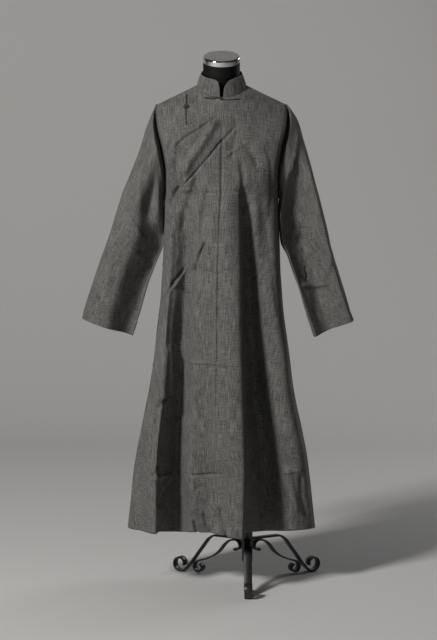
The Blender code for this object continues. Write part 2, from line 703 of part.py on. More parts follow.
def add_form(material):
    # the torso, whose shoulders keep just under the straight shoulder line of the cloth
    slope = (NECK_SIDE_Z - SHOULDER_Z) / (SHOULDER_X - NECK_HALF_WIDTH)
    turn = np.linspace(0, 2 * math.pi, FORM_SIDES, endpoint=False)
    rings = []
    for z, wide, front, back, bend in FORM:
        line = NECK_HALF_WIDTH + (NECK_SIDE_Z - UNDER_CLOTH - z) / slope
        wide = min(wide, line) if line > NECK_RADIUS else wide
        cosine, sine = np.cos(turn), np.sin(turn)
        x = wide * np.sign(cosine) * np.abs(cosine) ** (2 / bend)
        y = np.where(sine < 0, front, back) * np.sign(sine) * np.abs(sine) ** (2 / bend)
        rings.append(np.stack([x, y, np.full(FORM_SIDES, z)], axis=-1))
    x = NECK_RADIUS * np.cos(turn)
    y = NECK_RADIUS * np.sin(turn)
    z = NECK_TOP_Z + y * math.tan(NECK_TILT)
    rings.append(np.stack([x, y, z], axis=-1))
    return tube_solid("form_torso", np.array(rings), material)


def add_cap(material):
    # a turned disc with a rounded edge, tilted like the top of the neck
    steps = np.linspace(0, math.pi / 2, CAP_EDGE_STEPS)
    radii = [NECK_RADIUS - CAP_EDGE * (1 - math.sin(step)) for step in steps]
    lifts = [CAP_EDGE * (1 - math.cos(step)) for step in steps]
    profile = list(zip(radii, lifts))
    profile += [(radius, CAP_THICKNESS - lift) for radius, lift in reversed(profile)]
    turn = np.linspace(0, 2 * math.pi, CAP_SIDES, endpoint=False)
    rings = np.array([
        np.stack([r * np.cos(turn), r * np.sin(turn), np.full(CAP_SIDES, h)], axis=-1)
        for r, h in profile
    ])
    cosine, sine = math.cos(NECK_TILT), math.sin(NECK_TILT)
    tilted = np.stack([
        rings[..., 0],
        rings[..., 1] * cosine - rings[..., 2] * sine,
        rings[..., 1] * sine + rings[..., 2] * cosine + NECK_TOP_Z + SEAM / cosine,
    ], axis=-1)
    return tube_solid("neck_cap", tilted, material)


def cylinder(name, radius, low, high, material):
    turn = np.linspace(0, 2 * math.pi, POLE_SIDES, endpoint=False)
    x = POLE_X + radius * np.cos(turn)
    y = radius * np.sin(turn)
    rings = [np.stack([x, y, np.full(POLE_SIDES, z)], axis=-1) for z in (low, high)]
    return tube_solid(name, np.array(rings), material)


def add_screw(material):
    # the thumb screw that holds the pole at its height, beside the hub
    stations = (
        (HUB_RADIUS + SEAM, SCREW_RADIUS),
        (SCREW_REACH - GRIP_LENGTH, SCREW_RADIUS),
        (SCREW_REACH - GRIP_LENGTH + GRIP_STEP, GRIP_RADIUS),
        (SCREW_REACH, GRIP_RADIUS),
    )
    turn = np.linspace(0, 2 * math.pi, SCREW_SIDES, endpoint=False)
    rings = np.array([
        np.stack([
            np.full(SCREW_SIDES, POLE_X + away),
            radius * np.cos(turn),
            SCREW_Z + radius * np.sin(turn),
        ], axis=-1)
        for away, radius in stations
    ])
    return tube_solid("height_screw", rings, material)


def spiral(away, height, start, end, first, last, count):
    # an arc whose radius changes evenly
    turn = np.radians(np.linspace(start, end, count))
    radius = np.linspace(first, last, count)
    return np.stack([away + radius * np.cos(turn), height + radius * np.sin(turn)], axis=-1)


def strap_solid(name, route, angle, material):
    # a flat bar bent along a route of distances from the pole and heights
    ahead = unit(np.gradient(route, axis=0))
    side_step = np.stack([-ahead[:, 1], ahead[:, 0]], axis=-1) * STRAP_THICKNESS / 2
    reach = np.array([math.cos(angle), math.sin(angle)])
    sideways = np.array([-reach[1], reach[0]]) * STRAP_WIDTH / 2
    rings = []
    for edge, across in ((1, 1), (1, -1), (-1, -1), (-1, 1)):
        flat = route + edge * side_step
        ground = np.maximum(flat[:, 1], 0.0)
        x = POLE_X + flat[:, 0] * reach[0] + across * sideways[0]
        y = flat[:, 0] * reach[1] + across * sideways[1]
        rings.append(np.stack([x, y, ground], axis=-1))
    return tube_solid(name, np.stack(rings, axis=1), material, smooth_angle=STRAP_SMOOTH_ANGLE)


def leg_route():
    run = through(LEG_RUN, np.linspace(0, len(LEG_RUN) - 1, LEG_STEPS))
    return np.vstack([run, spiral(*LEG_SCROLL)])


def brace_route():
    run = through(BRACE_RUN, np.linspace(0, len(BRACE_RUN) - 1, BRACE_STEPS))
    return np.vstack([spiral(*BRACE_CURL), run, spiral(*BRACE_ROLL)])


def add_stand(iron):
    cylinder("pole", POLE_RADIUS, HUB_TOP_Z + SEAM, FORM[0][0] - SEAM, iron)
    cylinder("hub", HUB_RADIUS, HUB_BOTTOM_Z, HUB_TOP_Z, iron)
    add_screw(iron)
    for name, degrees in LEG_ANGLES.items():
        angle = math.radians(degrees)
        strap_solid("leg_" + name, leg_route(), angle, iron)
        strap_solid("brace_" + name, brace_route(), angle, iron)


def centre_on_floor():
    # move everything so that the bottom centre of the whole box is the origin
    corners = np.array([
        vertex.co[:] for thing in bpy.data.objects for vertex in thing.data.vertices
    ])
    low, high = corners.min(axis=0), corners.max(axis=0)
    middle = (low + high) / 2
    for thing in bpy.data.objects:
        for vertex in thing.data.vertices:
            vertex.co.x -= middle[0]
            vertex.co.y -= middle[1]
            vertex.co.z -= low[2]


clear_scene()
materials = {name: make_material(name) for name in COLOURS}
add_robe(materials["wool"])
add_closures(materials["cord"])
add_form(materials["form"])
add_cap(materials["chrome"])
add_stand(materials["iron"])
centre_on_floor()
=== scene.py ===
import math

import bpy
import numpy as np
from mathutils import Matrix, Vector


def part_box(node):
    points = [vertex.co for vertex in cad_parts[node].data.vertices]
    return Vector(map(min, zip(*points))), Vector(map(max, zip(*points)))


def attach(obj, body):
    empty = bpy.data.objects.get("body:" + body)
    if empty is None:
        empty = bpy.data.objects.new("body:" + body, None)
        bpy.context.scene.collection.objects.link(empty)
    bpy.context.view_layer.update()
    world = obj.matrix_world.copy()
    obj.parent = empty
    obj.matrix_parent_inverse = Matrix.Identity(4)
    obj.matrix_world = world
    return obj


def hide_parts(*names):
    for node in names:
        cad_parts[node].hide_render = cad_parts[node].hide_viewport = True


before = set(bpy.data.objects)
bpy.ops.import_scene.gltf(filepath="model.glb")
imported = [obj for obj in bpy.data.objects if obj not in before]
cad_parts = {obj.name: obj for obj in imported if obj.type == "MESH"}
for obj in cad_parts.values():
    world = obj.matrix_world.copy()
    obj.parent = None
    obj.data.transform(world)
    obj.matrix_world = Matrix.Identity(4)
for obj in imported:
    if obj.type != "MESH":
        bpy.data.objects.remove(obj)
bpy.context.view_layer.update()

# A long wool robe on a limbless dress form with an iron stand. Metres, +Z up.
# The wearer faces -Y and the wearer's right side lies at -X. Every piece is worked out
# about the robe's own upright axis and moved to its place when its mesh is made.

poleOffset = 0.082  # how far the pole stands to the wearer's left of the robe's axis
poleLow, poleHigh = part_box("pole")
axisShift = np.array([(poleLow.x + poleHigh.x) / 2 - poleOffset, (poleLow.y + poleHigh.y) / 2, 0.0])
right, left = -1, 1


def unit(vectors):
    return vectors / np.linalg.norm(vectors, axis=-1, keepdims=True)


def runAlong(points):
    # distance from the first point to each point of a line
    return np.concatenate([[0], np.cumsum(np.linalg.norm(np.diff(points, axis=0), axis=1))])


def part(value, start, end):
    # 0 at the start, 1 at the end, held beyond both
    return np.clip((value - start) / (end - start), 0, 1)


def ease(share):
    # 0 to 1 with level ends: s*s*(3 - 2s)
    share = np.clip(share, 0, 1)
    return share * share * (3 - 2 * share)


def through(rows, place):
    # smooth curve through the rows of a table that never swings past them, whole places on the rows
    rows = np.asarray(rows, float)
    place = np.asarray(place, float)
    step = np.diff(rows, axis=0)
    before, after = step[:-1], step[1:]
    sameWay = before * after > 0
    total = np.where(sameWay, before + after, 1.0)
    middle = np.where(sameWay, 2 * before * after / total, 0.0)
    slope = np.vstack([step[:1], middle, step[-1:]])
    index = np.clip(np.floor(place).astype(int), 0, len(rows) - 2)
    u = (place - index)[..., None]
    return (
        rows[index] * (1 + 2 * u) * (1 - u) ** 2
        + slope[index] * u * (1 - u) ** 2
        + rows[index + 1] * u**2 * (3 - 2 * u)
        + slope[index + 1] * u**2 * (u - 1)
    )


def gridNormals(grid, closed=False):
    # cross product of the steps across and along the grid
    if closed:
        across = np.roll(grid, -1, axis=1) - np.roll(grid, 1, axis=1)
    else:
        across = np.gradient(grid, axis=1)
    along = np.gradient(grid, axis=0)
    return unit(np.cross(across, along))


def facingOut(grid, normals):
    away = grid * np.array([1.0, 1.0, 0.0])
    return normals if np.sum(away * normals) > 0 else -normals


def gridQuads(rows, columns, closed):
    # four corners of each cell as point numbers, and as numbers in the unwrapped grid for the UVs
    row = np.arange(rows - 1)[:, None]
    column = np.arange(columns if closed else columns - 1)[None, :]
    following = (column + 1) % columns
    width = columns + 1 if closed else columns
    points = [row * columns + column, row * columns + following,
              (row + 1) * columns + following, (row + 1) * columns + column]
    corners = [row * width + column, row * width + column + 1,
               (row + 1) * width + column + 1, (row + 1) * width + column]
    return np.stack(points, -1).reshape(-1, 4), np.stack(corners, -1).reshape(-1, 4)


def addPiece(name, points, quads, cornerUv, material, sharpAngle=None):
    # a mesh of quads from whole arrays, turned outwards by its signed volume
    points = points.reshape(-1, 3)
    p = points[quads]
    volume = np.sum(p[:, 0] * (np.cross(p[:, 1], p[:, 2]) + np.cross(p[:, 2], p[:, 3])))
    if volume < 0:
        quads, cornerUv = quads[:, ::-1], cornerUv[:, ::-1]
    mesh = bpy.data.meshes.new(name)
    mesh.vertices.add(len(points))
    mesh.vertices.foreach_set("co", (points + axisShift).astype(np.float32).ravel())
    mesh.loops.add(quads.size)
    mesh.loops.foreach_set("vertex_index", quads.astype(np.int32).ravel())
    mesh.polygons.add(len(quads))
    mesh.polygons.foreach_set("loop_start", np.arange(0, quads.size, 4, dtype=np.int32))
    mesh.update(calc_edges=True)
    layer = mesh.uv_layers.new(name="cloth")
    layer.data.foreach_set("uv", cornerUv.astype(np.float32).ravel())
    mesh.validate()
    mesh.shade_smooth()
    if sharpAngle is not None:
        mesh.set_sharp_from_angle(angle=math.radians(sharpAngle))
    mesh.materials.append(material)
    piece = bpy.data.objects.new(name, mesh)
    bpy.context.collection.objects.link(piece)
    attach(piece, "root")
    return piece


def perimeter(rows, columns, closed):
    first = np.arange(columns)
    last = (rows - 1) * columns + first
    if closed:
        return [np.append(first, first[0]), np.append(last, last[0])[::-1]]
    down = np.arange(rows) * columns
    ring = np.concatenate([first[:-1], (down + columns - 1)[:-1], last[::-1][:-1], down[::-1]])
    return [ring]


def clothWall(name, outer, inner, closed, uv, material):
    # two layers a wall apart, joined round their edges by a rounded rim:
    # rim = middle of the two edges + share of the wall, pointing off the cloth
    rows, columns = outer.shape[:2]
    count = rows * columns
    quads, corners = gridQuads(rows, columns, closed)
    uvFlat = uv.reshape(-1, 2)
    allQuads = [quads, quads[:, ::-1] + count]
    allUv = [uvFlat[corners], uvFlat[corners[:, ::-1]]]
    off = np.zeros_like(outer)
    off[0] += unit(outer[0] - outer[1])
    off[-1] += unit(outer[-1] - outer[-2])
    if not closed:
        off[:, 0] += unit(outer[:, 0] - outer[:, 1])
        off[:, -1] += unit(outer[:, -1] - outer[:, -2])
    off = off.reshape(-1, 3)
    flatOuter, flatInner = outer.reshape(-1, 3), inner.reshape(-1, 3)
    extra = []
    start = 2 * count
    for chain in perimeter(rows, columns, closed):
        ring = chain[:-1]
        push = unit(off[ring] + 1e-9) * clothWallThickness * 0.45
        extra.append((flatOuter[ring] + flatInner[ring]) / 2 + push)
        number = start + np.arange(len(ring))
        start += len(ring)
        here, there = ring, np.roll(ring, -1)
        mid, midNext = number, np.roll(number, -1)
        allQuads.append(np.stack([there, here, mid, midNext], -1))
        allQuads.append(np.stack([midNext, mid, here + count, there + count], -1))
        if closed:
            edgeRow = 0 if ring.min() < columns else rows - 1
            edgeUv = uv[edgeRow][np.mod(ring, columns)]
        else:
            edgeUv = uvFlat[ring]
        nextUv = np.roll(edgeUv, -1, axis=0)
        strip = np.stack([nextUv, edgeUv, edgeUv, nextUv], 1)
        allUv += [strip, strip]
    points = np.vstack([flatOuter, flatInner, *extra])
    return addPiece(name, points, np.vstack(allQuads), np.vstack(allUv), material)


def tubePiece(name, rings, uvSize, material, sharpAngle=None):
    # closed rings skinned in order, each end drawn in to its own centre
    first, last = rings[0], rings[-1]
    shrink = np.array([0.5, 1e-3])[:, None, None]
    head = first.mean(0) + (first - first.mean(0)) * shrink
    tail = last.mean(0) + (last - last.mean(0)) * shrink[::-1]
    rings = np.concatenate([head[::-1], rings, tail[::-1]])
    rows, columns = rings.shape[:2]
    quads, corners = gridQuads(rows, columns, True)
    run = runAlong(rings.mean(1))
    around = np.linspace(0, uvSize, columns + 1)
    uv = np.stack(np.broadcast_arrays(around[None, :], run[:, None]), -1).reshape(-1, 2)
    skin = rings.reshape(-1, 3)
    centre = np.array([rings[0].mean(0), rings[-1].mean(0)])
    points = np.vstack([skin, centre])
    n = rows * columns
    ring = np.arange(columns)
    top = (rows - 1) * columns
    pair = ring[::2]
    closeHead = np.stack([np.full(len(pair), n), (pair + 2) % columns, pair + 1, pair], -1)
    closeTail = np.stack([np.full(len(pair), n + 1), top + pair, top + pair + 1,
                          top + (pair + 2) % columns], -1)
    quads = np.vstack([quads, closeHead, closeTail])
    flatUv = uv[corners]
    closing = np.zeros((2 * len(pair), 4, 2))
    return addPiece(name, points, quads, np.vstack([flatUv, closing]), material, sharpAngle)


def newMaterial(name):
    material = bpy.data.materials.new(name)
    material.use_nodes = True
    tree = material.node_tree
    return material, tree, tree.nodes["Principled BSDF"]


def plug(tree, socket, value):
    # a socket is linked, and a plain value is set
    if isinstance(value, bpy.types.NodeSocket):
        tree.links.new(value, socket)
    else:
        socket.default_value = value


def setInputs(tree, node, **inputs):
    for key, value in inputs.items():
        plug(tree, node.inputs[key.replace("_", " ")], value)


def addNode(tree, kind, settings=None, **inputs):
    node = tree.nodes.new(kind)
    for key, value in (settings or {}).items():
        setattr(node, key, value)
    setInputs(tree, node, **inputs)
    return node


def mathNode(tree, operation, a, b):
    node = addNode(tree, "ShaderNodeMath", {"operation": operation})
    plug(tree, node.inputs[0], a)
    plug(tree, node.inputs[1], b)
    return node.outputs[0]


def mixColours(tree, share, dark, light):
    mix = addNode(tree, "ShaderNodeMix", {"data_type": "RGBA"})
    for index, value in ((0, share), (6, dark), (7, light)):
        plug(tree, mix.inputs[index], value)
    return mix.outputs[2]


def bumpNode(tree, height, strength, distance):
    bump = addNode(tree, "ShaderNodeBump", Height=height, Strength=strength, Distance=distance)
    return bump.outputs["Normal"]


def weaveGroup():
    # warp and weft as two sine ridges, with uneven yarns and melange flecks, on UVs in metres
    group = bpy.data.node_groups.new("plainWeave", "ShaderNodeTree")
    for title, way, kind in (
        ("Vector", "INPUT", "Vector"), ("Dark", "INPUT", "Color"), ("Light", "INPUT", "Color"),
        ("Color", "OUTPUT", "Color"), ("Height", "OUTPUT", "Float"), ("Roughness", "OUTPUT", "Float"),
    ):
        group.interface.new_socket(name=title, in_out=way, socket_type="NodeSocket" + kind)
    start = group.nodes.new("NodeGroupInput").outputs
    end = group.nodes.new("NodeGroupOutput")

    def stretchedNoise(scaleU, scaleV, detail):
        mapping = addNode(group, "ShaderNodeMapping", Vector=start["Vector"], Scale=(scaleU, scaleV, 1.0))
        noise = addNode(group, "ShaderNodeTexNoise", Vector=mapping.outputs["Vector"],
                        Scale=1.0, Detail=detail, Roughness=0.6)
        return noise.outputs["Fac"]

    def plus(a, b, share):
        # a + share * b
        return mathNode(group, "ADD", a, mathNode(group, "MULTIPLY", b, share))

    def yarns(direction):
        wave = addNode(group, "ShaderNodeTexWave", {"wave_type": "BANDS", "bands_direction": direction},
                       Vector=start["Vector"], Scale=150.0, Distortion=0.6, Detail=1.0)
        return wave.outputs["Fac"]

    warpStreak = mathNode(group, "MULTIPLY", stretchedNoise(330.0, 22.0, 3.0), 0.34)
    streak = plus(warpStreak, stretchedNoise(30.0, 330.0, 3.0), 0.24)
    fleck = stretchedNoise(420.0, 420.0, 4.0)
    tone = plus(plus(streak, fleck, 0.4), stretchedNoise(9.0, 6.0, 2.0), 0.08)
    ramp = addNode(group, "ShaderNodeMapRange", Value=tone, From_Min=0.44, From_Max=0.62)
    ridges = mathNode(group, "MULTIPLY", mathNode(group, "ADD", yarns("X"), yarns("Y")), 0.5)
    setInputs(
        group, end,
        Color=mixColours(group, ramp.outputs["Result"], start["Dark"], start["Light"]),
        Height=plus(plus(ridges, fleck, 0.8), streak, 0.8),
        Roughness=mathNode(group, "ADD", mathNode(group, "MULTIPLY", fleck, 0.12), 0.8),
    )
    return group


woolLook = {"dark": (0.03, 0.0295, 0.028, 1), "light": (0.176, 0.171, 0.164, 1), "bump": 0.35, "sheen": 0.05}


def woolMaterial():
    material, tree, shader = newMaterial("greyMelangeWool")
    coords = addNode(tree, "ShaderNodeUVMap", {"uv_map": "cloth"})
    weave = addNode(tree, "ShaderNodeGroup", {"node_tree": weaveGroup()}, Vector=coords.outputs["UV"],
                    Dark=woolLook["dark"], Light=woolLook["light"]).outputs
    setInputs(
        tree, shader, Base_Color=weave["Color"], Roughness=weave["Roughness"],
        Normal=bumpNode(tree, weave["Height"], woolLook["bump"], 0.0006),
        Specular_IOR_Level=0.25, Sheen_Weight=woolLook["sheen"], Sheen_Roughness=0.5,
    )
    return material


def speckledMaterial(name, dark, light, scale, bump, rough, metallic=0.0, specular=0.5):
    # a plain finish with fine noise in its colour, gloss and height, on Object coordinates;
    # bump as strength and distance, rough as least and most
    material, tree, shader = newMaterial(name)
    coords = tree.nodes.new("ShaderNodeTexCoord")
    noise = addNode(tree, "ShaderNodeTexNoise", Vector=coords.outputs["Object"],
                    Scale=scale, Detail=4.0, Roughness=0.6).outputs["Fac"]
    dull = addNode(tree, "ShaderNodeMapRange", Value=noise, To_Min=rough[0], To_Max=rough[1])
    setInputs(
        tree, shader, Base_Color=mixColours(tree, noise, (*dark, 1), (*light, 1)),
        Roughness=dull.outputs["Result"], Normal=bumpNode(tree, noise, *bump),
        Metallic=metallic, Specular_IOR_Level=specular,
    )
    return material


wool = woolMaterial()
cord = speckledMaterial(
    "darkCord", (0.02, 0.019, 0.019), (0.05, 0.047, 0.045), 1500.0, (0.6, 0.0004), (0.7, 0.9))
jersey = speckledMaterial(
    "blackJersey", (0.003, 0.003, 0.003), (0.006, 0.006, 0.006), 1400.0, (0.3, 0.0003), (0.55, 0.75),
    specular=0.12)
chrome = speckledMaterial(
    "polishedChrome", (0.62, 0.62, 0.63), (0.72, 0.72, 0.72), 60.0, (0.02, 0.0002), (0.06, 0.13),
    metallic=1.0)
iron = speckledMaterial(
    "blackIron", (0.01, 0.01, 0.011), (0.02, 0.02, 0.021), 420.0, (0.25, 0.0004), (0.28, 0.46))
print("finishes made")


clothWallThickness = 0.0019
robeCut = {
    # neckline: an oval seen from above that dips at the front
    "neckHalfWidth": 0.076, "neckFront": 0.074, "neckBack": 0.058,
    "neckSideZ": 1.568, "neckFrontDip": 0.038, "neckBackRise": 0.01,
    "shoulderX": 0.203, "shoulderZ": 1.508, "roundness": 2.3,
    # height, half width, depth at the centre front, depth at the centre back
    "skirt": (
        (0.183, 0.293, 0.136, 0.15), (0.4, 0.27, 0.134, 0.142), (0.62, 0.227, 0.13, 0.13),
        (0.78, 0.2065, 0.127, 0.121), (0.925, 0.1905, 0.124, 0.114), (1.075, 0.182, 0.122, 0.11),
        (1.215, 0.1785, 0.121, 0.109),
    ),
    # centre height, centre y, armhole x, armhole y, armhole height, roundness
    "chestFront": (
        (1.3, -0.122, 0.1765, -0.052, 1.285, 2.6), (1.39, -0.119, 0.189, -0.074, 1.37, 2.4),
        (1.47, -0.1, 0.205, -0.056, 1.435, 2.0),
    ),
    "chestBack": (
        (1.3, 0.112, 0.178, 0.052, 1.285, 2.6), (1.39, 0.108, 0.189, 0.074, 1.37, 2.4),
        (1.49, 0.088, 0.2045, 0.058, 1.44, 2.0),
    ),
    # degrees round the neckline, armhole x, y, height, roundness
    "neck": (
        (0, 0.2085, -0.038, 1.465, 1.6), (45, 0.2075, -0.02, 1.488, 1.2), (90, 0.203, 0.0, 1.508, 1.0),
        (135, 0.207, 0.022, 1.49, 1.2), (180, 0.208, 0.042, 1.468, 1.6),
    ),
    "underInset": 0.003,
    "armTuck": 0.056, "armTuckReach": 0.038,
    "flareTopZ": 0.62, "slitTopZ": 0.37, "slitOpen": 0.004, "sideFlare": 0.006, "sideDrop": 0.008,
}
armpitFront = len(robeCut["skirt"]) - 1
neckStart = armpitFront + len(robeCut["chestFront"]) + 1
shoulder = neckStart + 2
neckEnd = neckStart + 4
armpitBack = neckEnd + len(robeCut["chestBack"]) + 1
backHem = armpitBack + len(robeCut["skirt"]) - 1

# Hanging folds: face (front -1, back 1), place at the hem and at the waist as fractions of the
# half width, rise at the hem, reach towards -X and +X at the hem, share of the reach left at the
# waist, growth (small grows fast under the chest), share of the rise left at the hem line, and
# the share of the rise by which the hem moves up
hangingFolds = {
    "centreRidge": (-1, 0.185, 0.255, 0.094, 0.105, 0.024, 0.6, 0.85, 1.0, 0.0),
    "centreTrough": (-1, 0.5, 0.44, -0.086, 0.08, 0.085, 0.35, 0.7, 1.0, 0.17),
    "leftSwell": (-1, 0.96, 0.96, 0.062, 0.105, 0.02, 0.55, 0.6, 0.3, 0.3),
    "rightRidge": (-1, -0.725, -0.9, 0.042, 0.046, 0.024, 1.0, 0.8, 1.0, 0.0),
    "rightTrough": (-1, -0.48, -0.6, -0.092, 0.056, 0.054, 0.75, 0.8, 1.0, 0.2),
    "backRightOuter": (1, -0.64, -0.64, 0.034, 0.055, 0.05, 1.0, 0.8, 1.0, 0.0),
    "backRightInner": (1, -0.2, -0.2, 0.04, 0.06, 0.045, 1.0, 0.8, 1.0, 0.0),
    "backLeftInner": (1, 0.29, 0.29, 0.044, 0.05, 0.065, 1.0, 0.8, 1.0, 0.0),
    "backLeftOuter": (1, 0.66, 0.66, 0.036, 0.05, 0.055, 1.0, 0.8, 1.0, 0.0),
}
foldFall = {"topZ": 1.28, "fullZ": 0.4, "driftTopZ": 0.85, "narrowTopZ": 1.15, "sideShare": 0.05,
            "levelTopZ": 0.5}
foldLean = {"centreRidge": 0.011, "rightRidge": 0.008}  # how far a crest leans towards +X


def neckline(angle):
    # half oval from the centre front (0) to the centre back (pi), dipping at the front
    forward = np.cos(angle)
    front = forward > 0
    x = robeCut["neckHalfWidth"] * np.sin(angle)
    y = -forward * np.where(front, robeCut["neckFront"], robeCut["neckBack"])
    z = robeCut["neckSideZ"] - forward * np.where(front, robeCut["neckFrontDip"], robeCut["neckBackRise"])
    return np.stack([x, y, z], axis=-1)


def lengthTable():
    # one row for each station of a length of cloth: centre x, y, z, side x, y, z, roundness
    bend = robeCut["roundness"]
    rows = [(0, -deep, z, wide, 0, z, bend) for z, wide, deep, _ in robeCut["skirt"]]
    rows += [(0, cy, cz, x, y, z, b) for cz, cy, x, y, z, b in robeCut["chestFront"]]
    rows += [(*neckline(math.radians(turn)), x, y, z, b) for turn, x, y, z, b in robeCut["neck"]]
    rows += [(0, cy, cz, x, y, z, b) for cz, cy, x, y, z, b in reversed(robeCut["chestBack"])]
    rows += [(0, deep, z, wide, 0, z, bend) for z, wide, _, deep in reversed(robeCut["skirt"])]
    return np.array(rows)


lengthRows = lengthTable()
hemZ = robeCut["skirt"][0][0]


def foldPlace(fold, z):
    _, hem, waist = hangingFolds[fold][:3]
    up = part(z, hemZ, foldFall["driftTopZ"])
    return hem + (waist - hem) * up


def foldRise(face, fraction, halfWidth, z):
    # raised cosines side by side, each growing from the chest down to the hem;
    # gives the rise off the body, the lean of the crests along x, and the lift of the hem
    fallen = part(z, foldFall["topZ"], foldFall["fullZ"])
    up = part(z, hemZ, foldFall["narrowTopZ"])
    level = ease(part(z, foldFall["levelTopZ"], hemZ))
    total = np.zeros(np.broadcast(fraction, z).shape)
    lean, lift = np.zeros(total.shape), np.zeros(total.shape)
    for fold, numbers in hangingFolds.items():
        side, _, _, rise, reachMinus, reachPlus, waistShare, speed, hemShare, hemLift = numbers
        growth = fallen**speed * ease(fallen / 0.06) * (1 - level * (1 - hemShare))
        away = (fraction - foldPlace(fold, z)) * halfWidth
        reach = np.where(away < 0, reachMinus, reachPlus) * (1 + (waistShare - 1) * up)
        bump = 0.5 * (1 + np.cos(np.pi * np.clip(away / reach, -1, 1)))
        total += np.where(face == side, rise * growth * bump, 0.0)
        lean += np.where(face == side, foldLean.get(fold, 0.0) * growth * bump**2, 0.0)
        lift += np.where(face == side, hemLift * rise * growth * bump * level, 0.0)
    roll = ease((1 - np.abs(fraction)) / foldFall["sideShare"])
    return total * roll, lean, lift * roll


def robeFraction(side, column, face, z):
    # columns follow the largest front fold of their side, wherever it drifts
    ridge = "rightRidge" if side == right else "centreRidge"
    still = abs(hangingFolds[ridge][1])
    moved = np.where(face < 0, np.abs(foldPlace(ridge, z)), still)
    inside = column * moved / still
    outside = 1 - (1 - column) * (1 - moved) / (1 - still)
    return np.where(column < still, inside, outside)


# places over which the slope is softened at the neck's two ends, how far, the share of the width
# that it needs, and the weights
softCut = {"width": 0.8, "span": 0.55, "column": 0.22, "reach": 1.5,
           "weights": (0.05, 0.12, 0.2, 0.26, 0.2, 0.12, 0.05)}


def robePoint(side, column, place):
    # the rough robe averaged over a few places, so that the cloth rolls softly on to the shoulder
    column, place = np.broadcast_arrays(np.asarray(column, float), np.asarray(place, float))
    near = sum(np.exp(-(((place - end) / softCut["width"]) ** 2)) for end in (neckStart, neckEnd))
    span = softCut["span"] * near * ease(column / softCut["column"])
    weights = np.array(softCut["weights"])
    steps = np.linspace(-softCut["reach"], softCut["reach"], len(weights))
    return sum(w * roughRobe(side, column, place + step * span) for w, step in zip(weights, steps))


def roughRobe(side, column, place):
    # superellipse from the centre to the side at each station, plus the hanging folds;
    # column 0 to 1 from centre to side, place along the length of cloth
    column, place = np.broadcast_arrays(np.asarray(column, float), np.asarray(place, float))
    row = through(lengthRows, place)
    centre, edge, bend = row[..., :3], row[..., 3:6], row[..., 6]
    face = np.where(place < shoulder, -1, 1)
    inNeck = (place >= neckStart) & (place <= neckEnd)
    roundNeck = neckline(math.radians(45) * (np.clip(place, neckStart, neckEnd) - neckStart))
    centre = np.where(inNeck[..., None], roundNeck, centre)
    fraction = robeFraction(side, column, face, centre[..., 2])
    x = centre[..., 0] + (edge[..., 0] - centre[..., 0]) * fraction
    z = centre[..., 2] + (edge[..., 2] - centre[..., 2]) * fraction
    curve = np.clip(1 - np.abs(fraction) ** bend, 0, 1) ** (1 / bend)
    y = edge[..., 1] + (centre[..., 1] - edge[..., 1]) * curve
    rise, lean, lift = foldRise(face, side * fraction, edge[..., 0], z)
    z = z + lift
    y = y + face * rise
    x = x + side * lean
    # the cloth tucks in beside the armhole, deepest half way up, front and back
    tuckPlace = np.where(face < 0, (place - armpitFront) / (shoulder - armpitFront),
                         (armpitBack - place) / (armpitBack - shoulder))
    depth = robeCut["armTuck"] * np.sin(np.pi * np.clip(tuckPlace, 0, 1) ** 0.8)
    y = y - face * depth * np.exp(-(((1 - fraction) / robeCut["armTuckReach"]) ** 2))
    # at the hem the sides hang a little lower and wider than the middle
    flare = np.abs(fraction) ** 3 * part(z, robeCut["flareTopZ"], hemZ) ** 2
    x = x + robeCut["sideFlare"] * flare
    z = z - robeCut["sideDrop"] * flare
    # the side slits gape a little
    gape = robeCut["slitOpen"] * part(z, robeCut["slitTopZ"], hemZ)
    y = y + face * gape * np.clip((fraction - 0.9) / 0.1, 0, 1) ** 2
    return np.stack([side * x, y, z], axis=-1)


seamSteps = (0.0012, 0.0024, 0.0038)


def evenColumns(side, face, count):
    # columns spaced evenly along the folded hem, and a few more beside the centre seam
    fine = np.linspace(0, 1, 1200)
    hem = robePoint(side, fine, 0.0 if face < 0 else float(backHem))
    run = runAlong(hem)
    even = np.linspace(0, run[-1], count - len(seamSteps))
    return np.interp(np.sort(np.concatenate([even, seamSteps])), run, fine)


def creaseTable(rows):
    # in: route as x, height, x, height ... in mm, then rise (minus for a trough) and half widths on
    # the route's left-hand and right-hand sides in tenths of a mm; out: the same in metres
    return [(np.array(route).reshape(-1, 2) / 1000, *(number / 10000 for number in rest))
            for route, *rest in rows]


creaseFade = 0.14  # share of a crease's length over which each end dies out
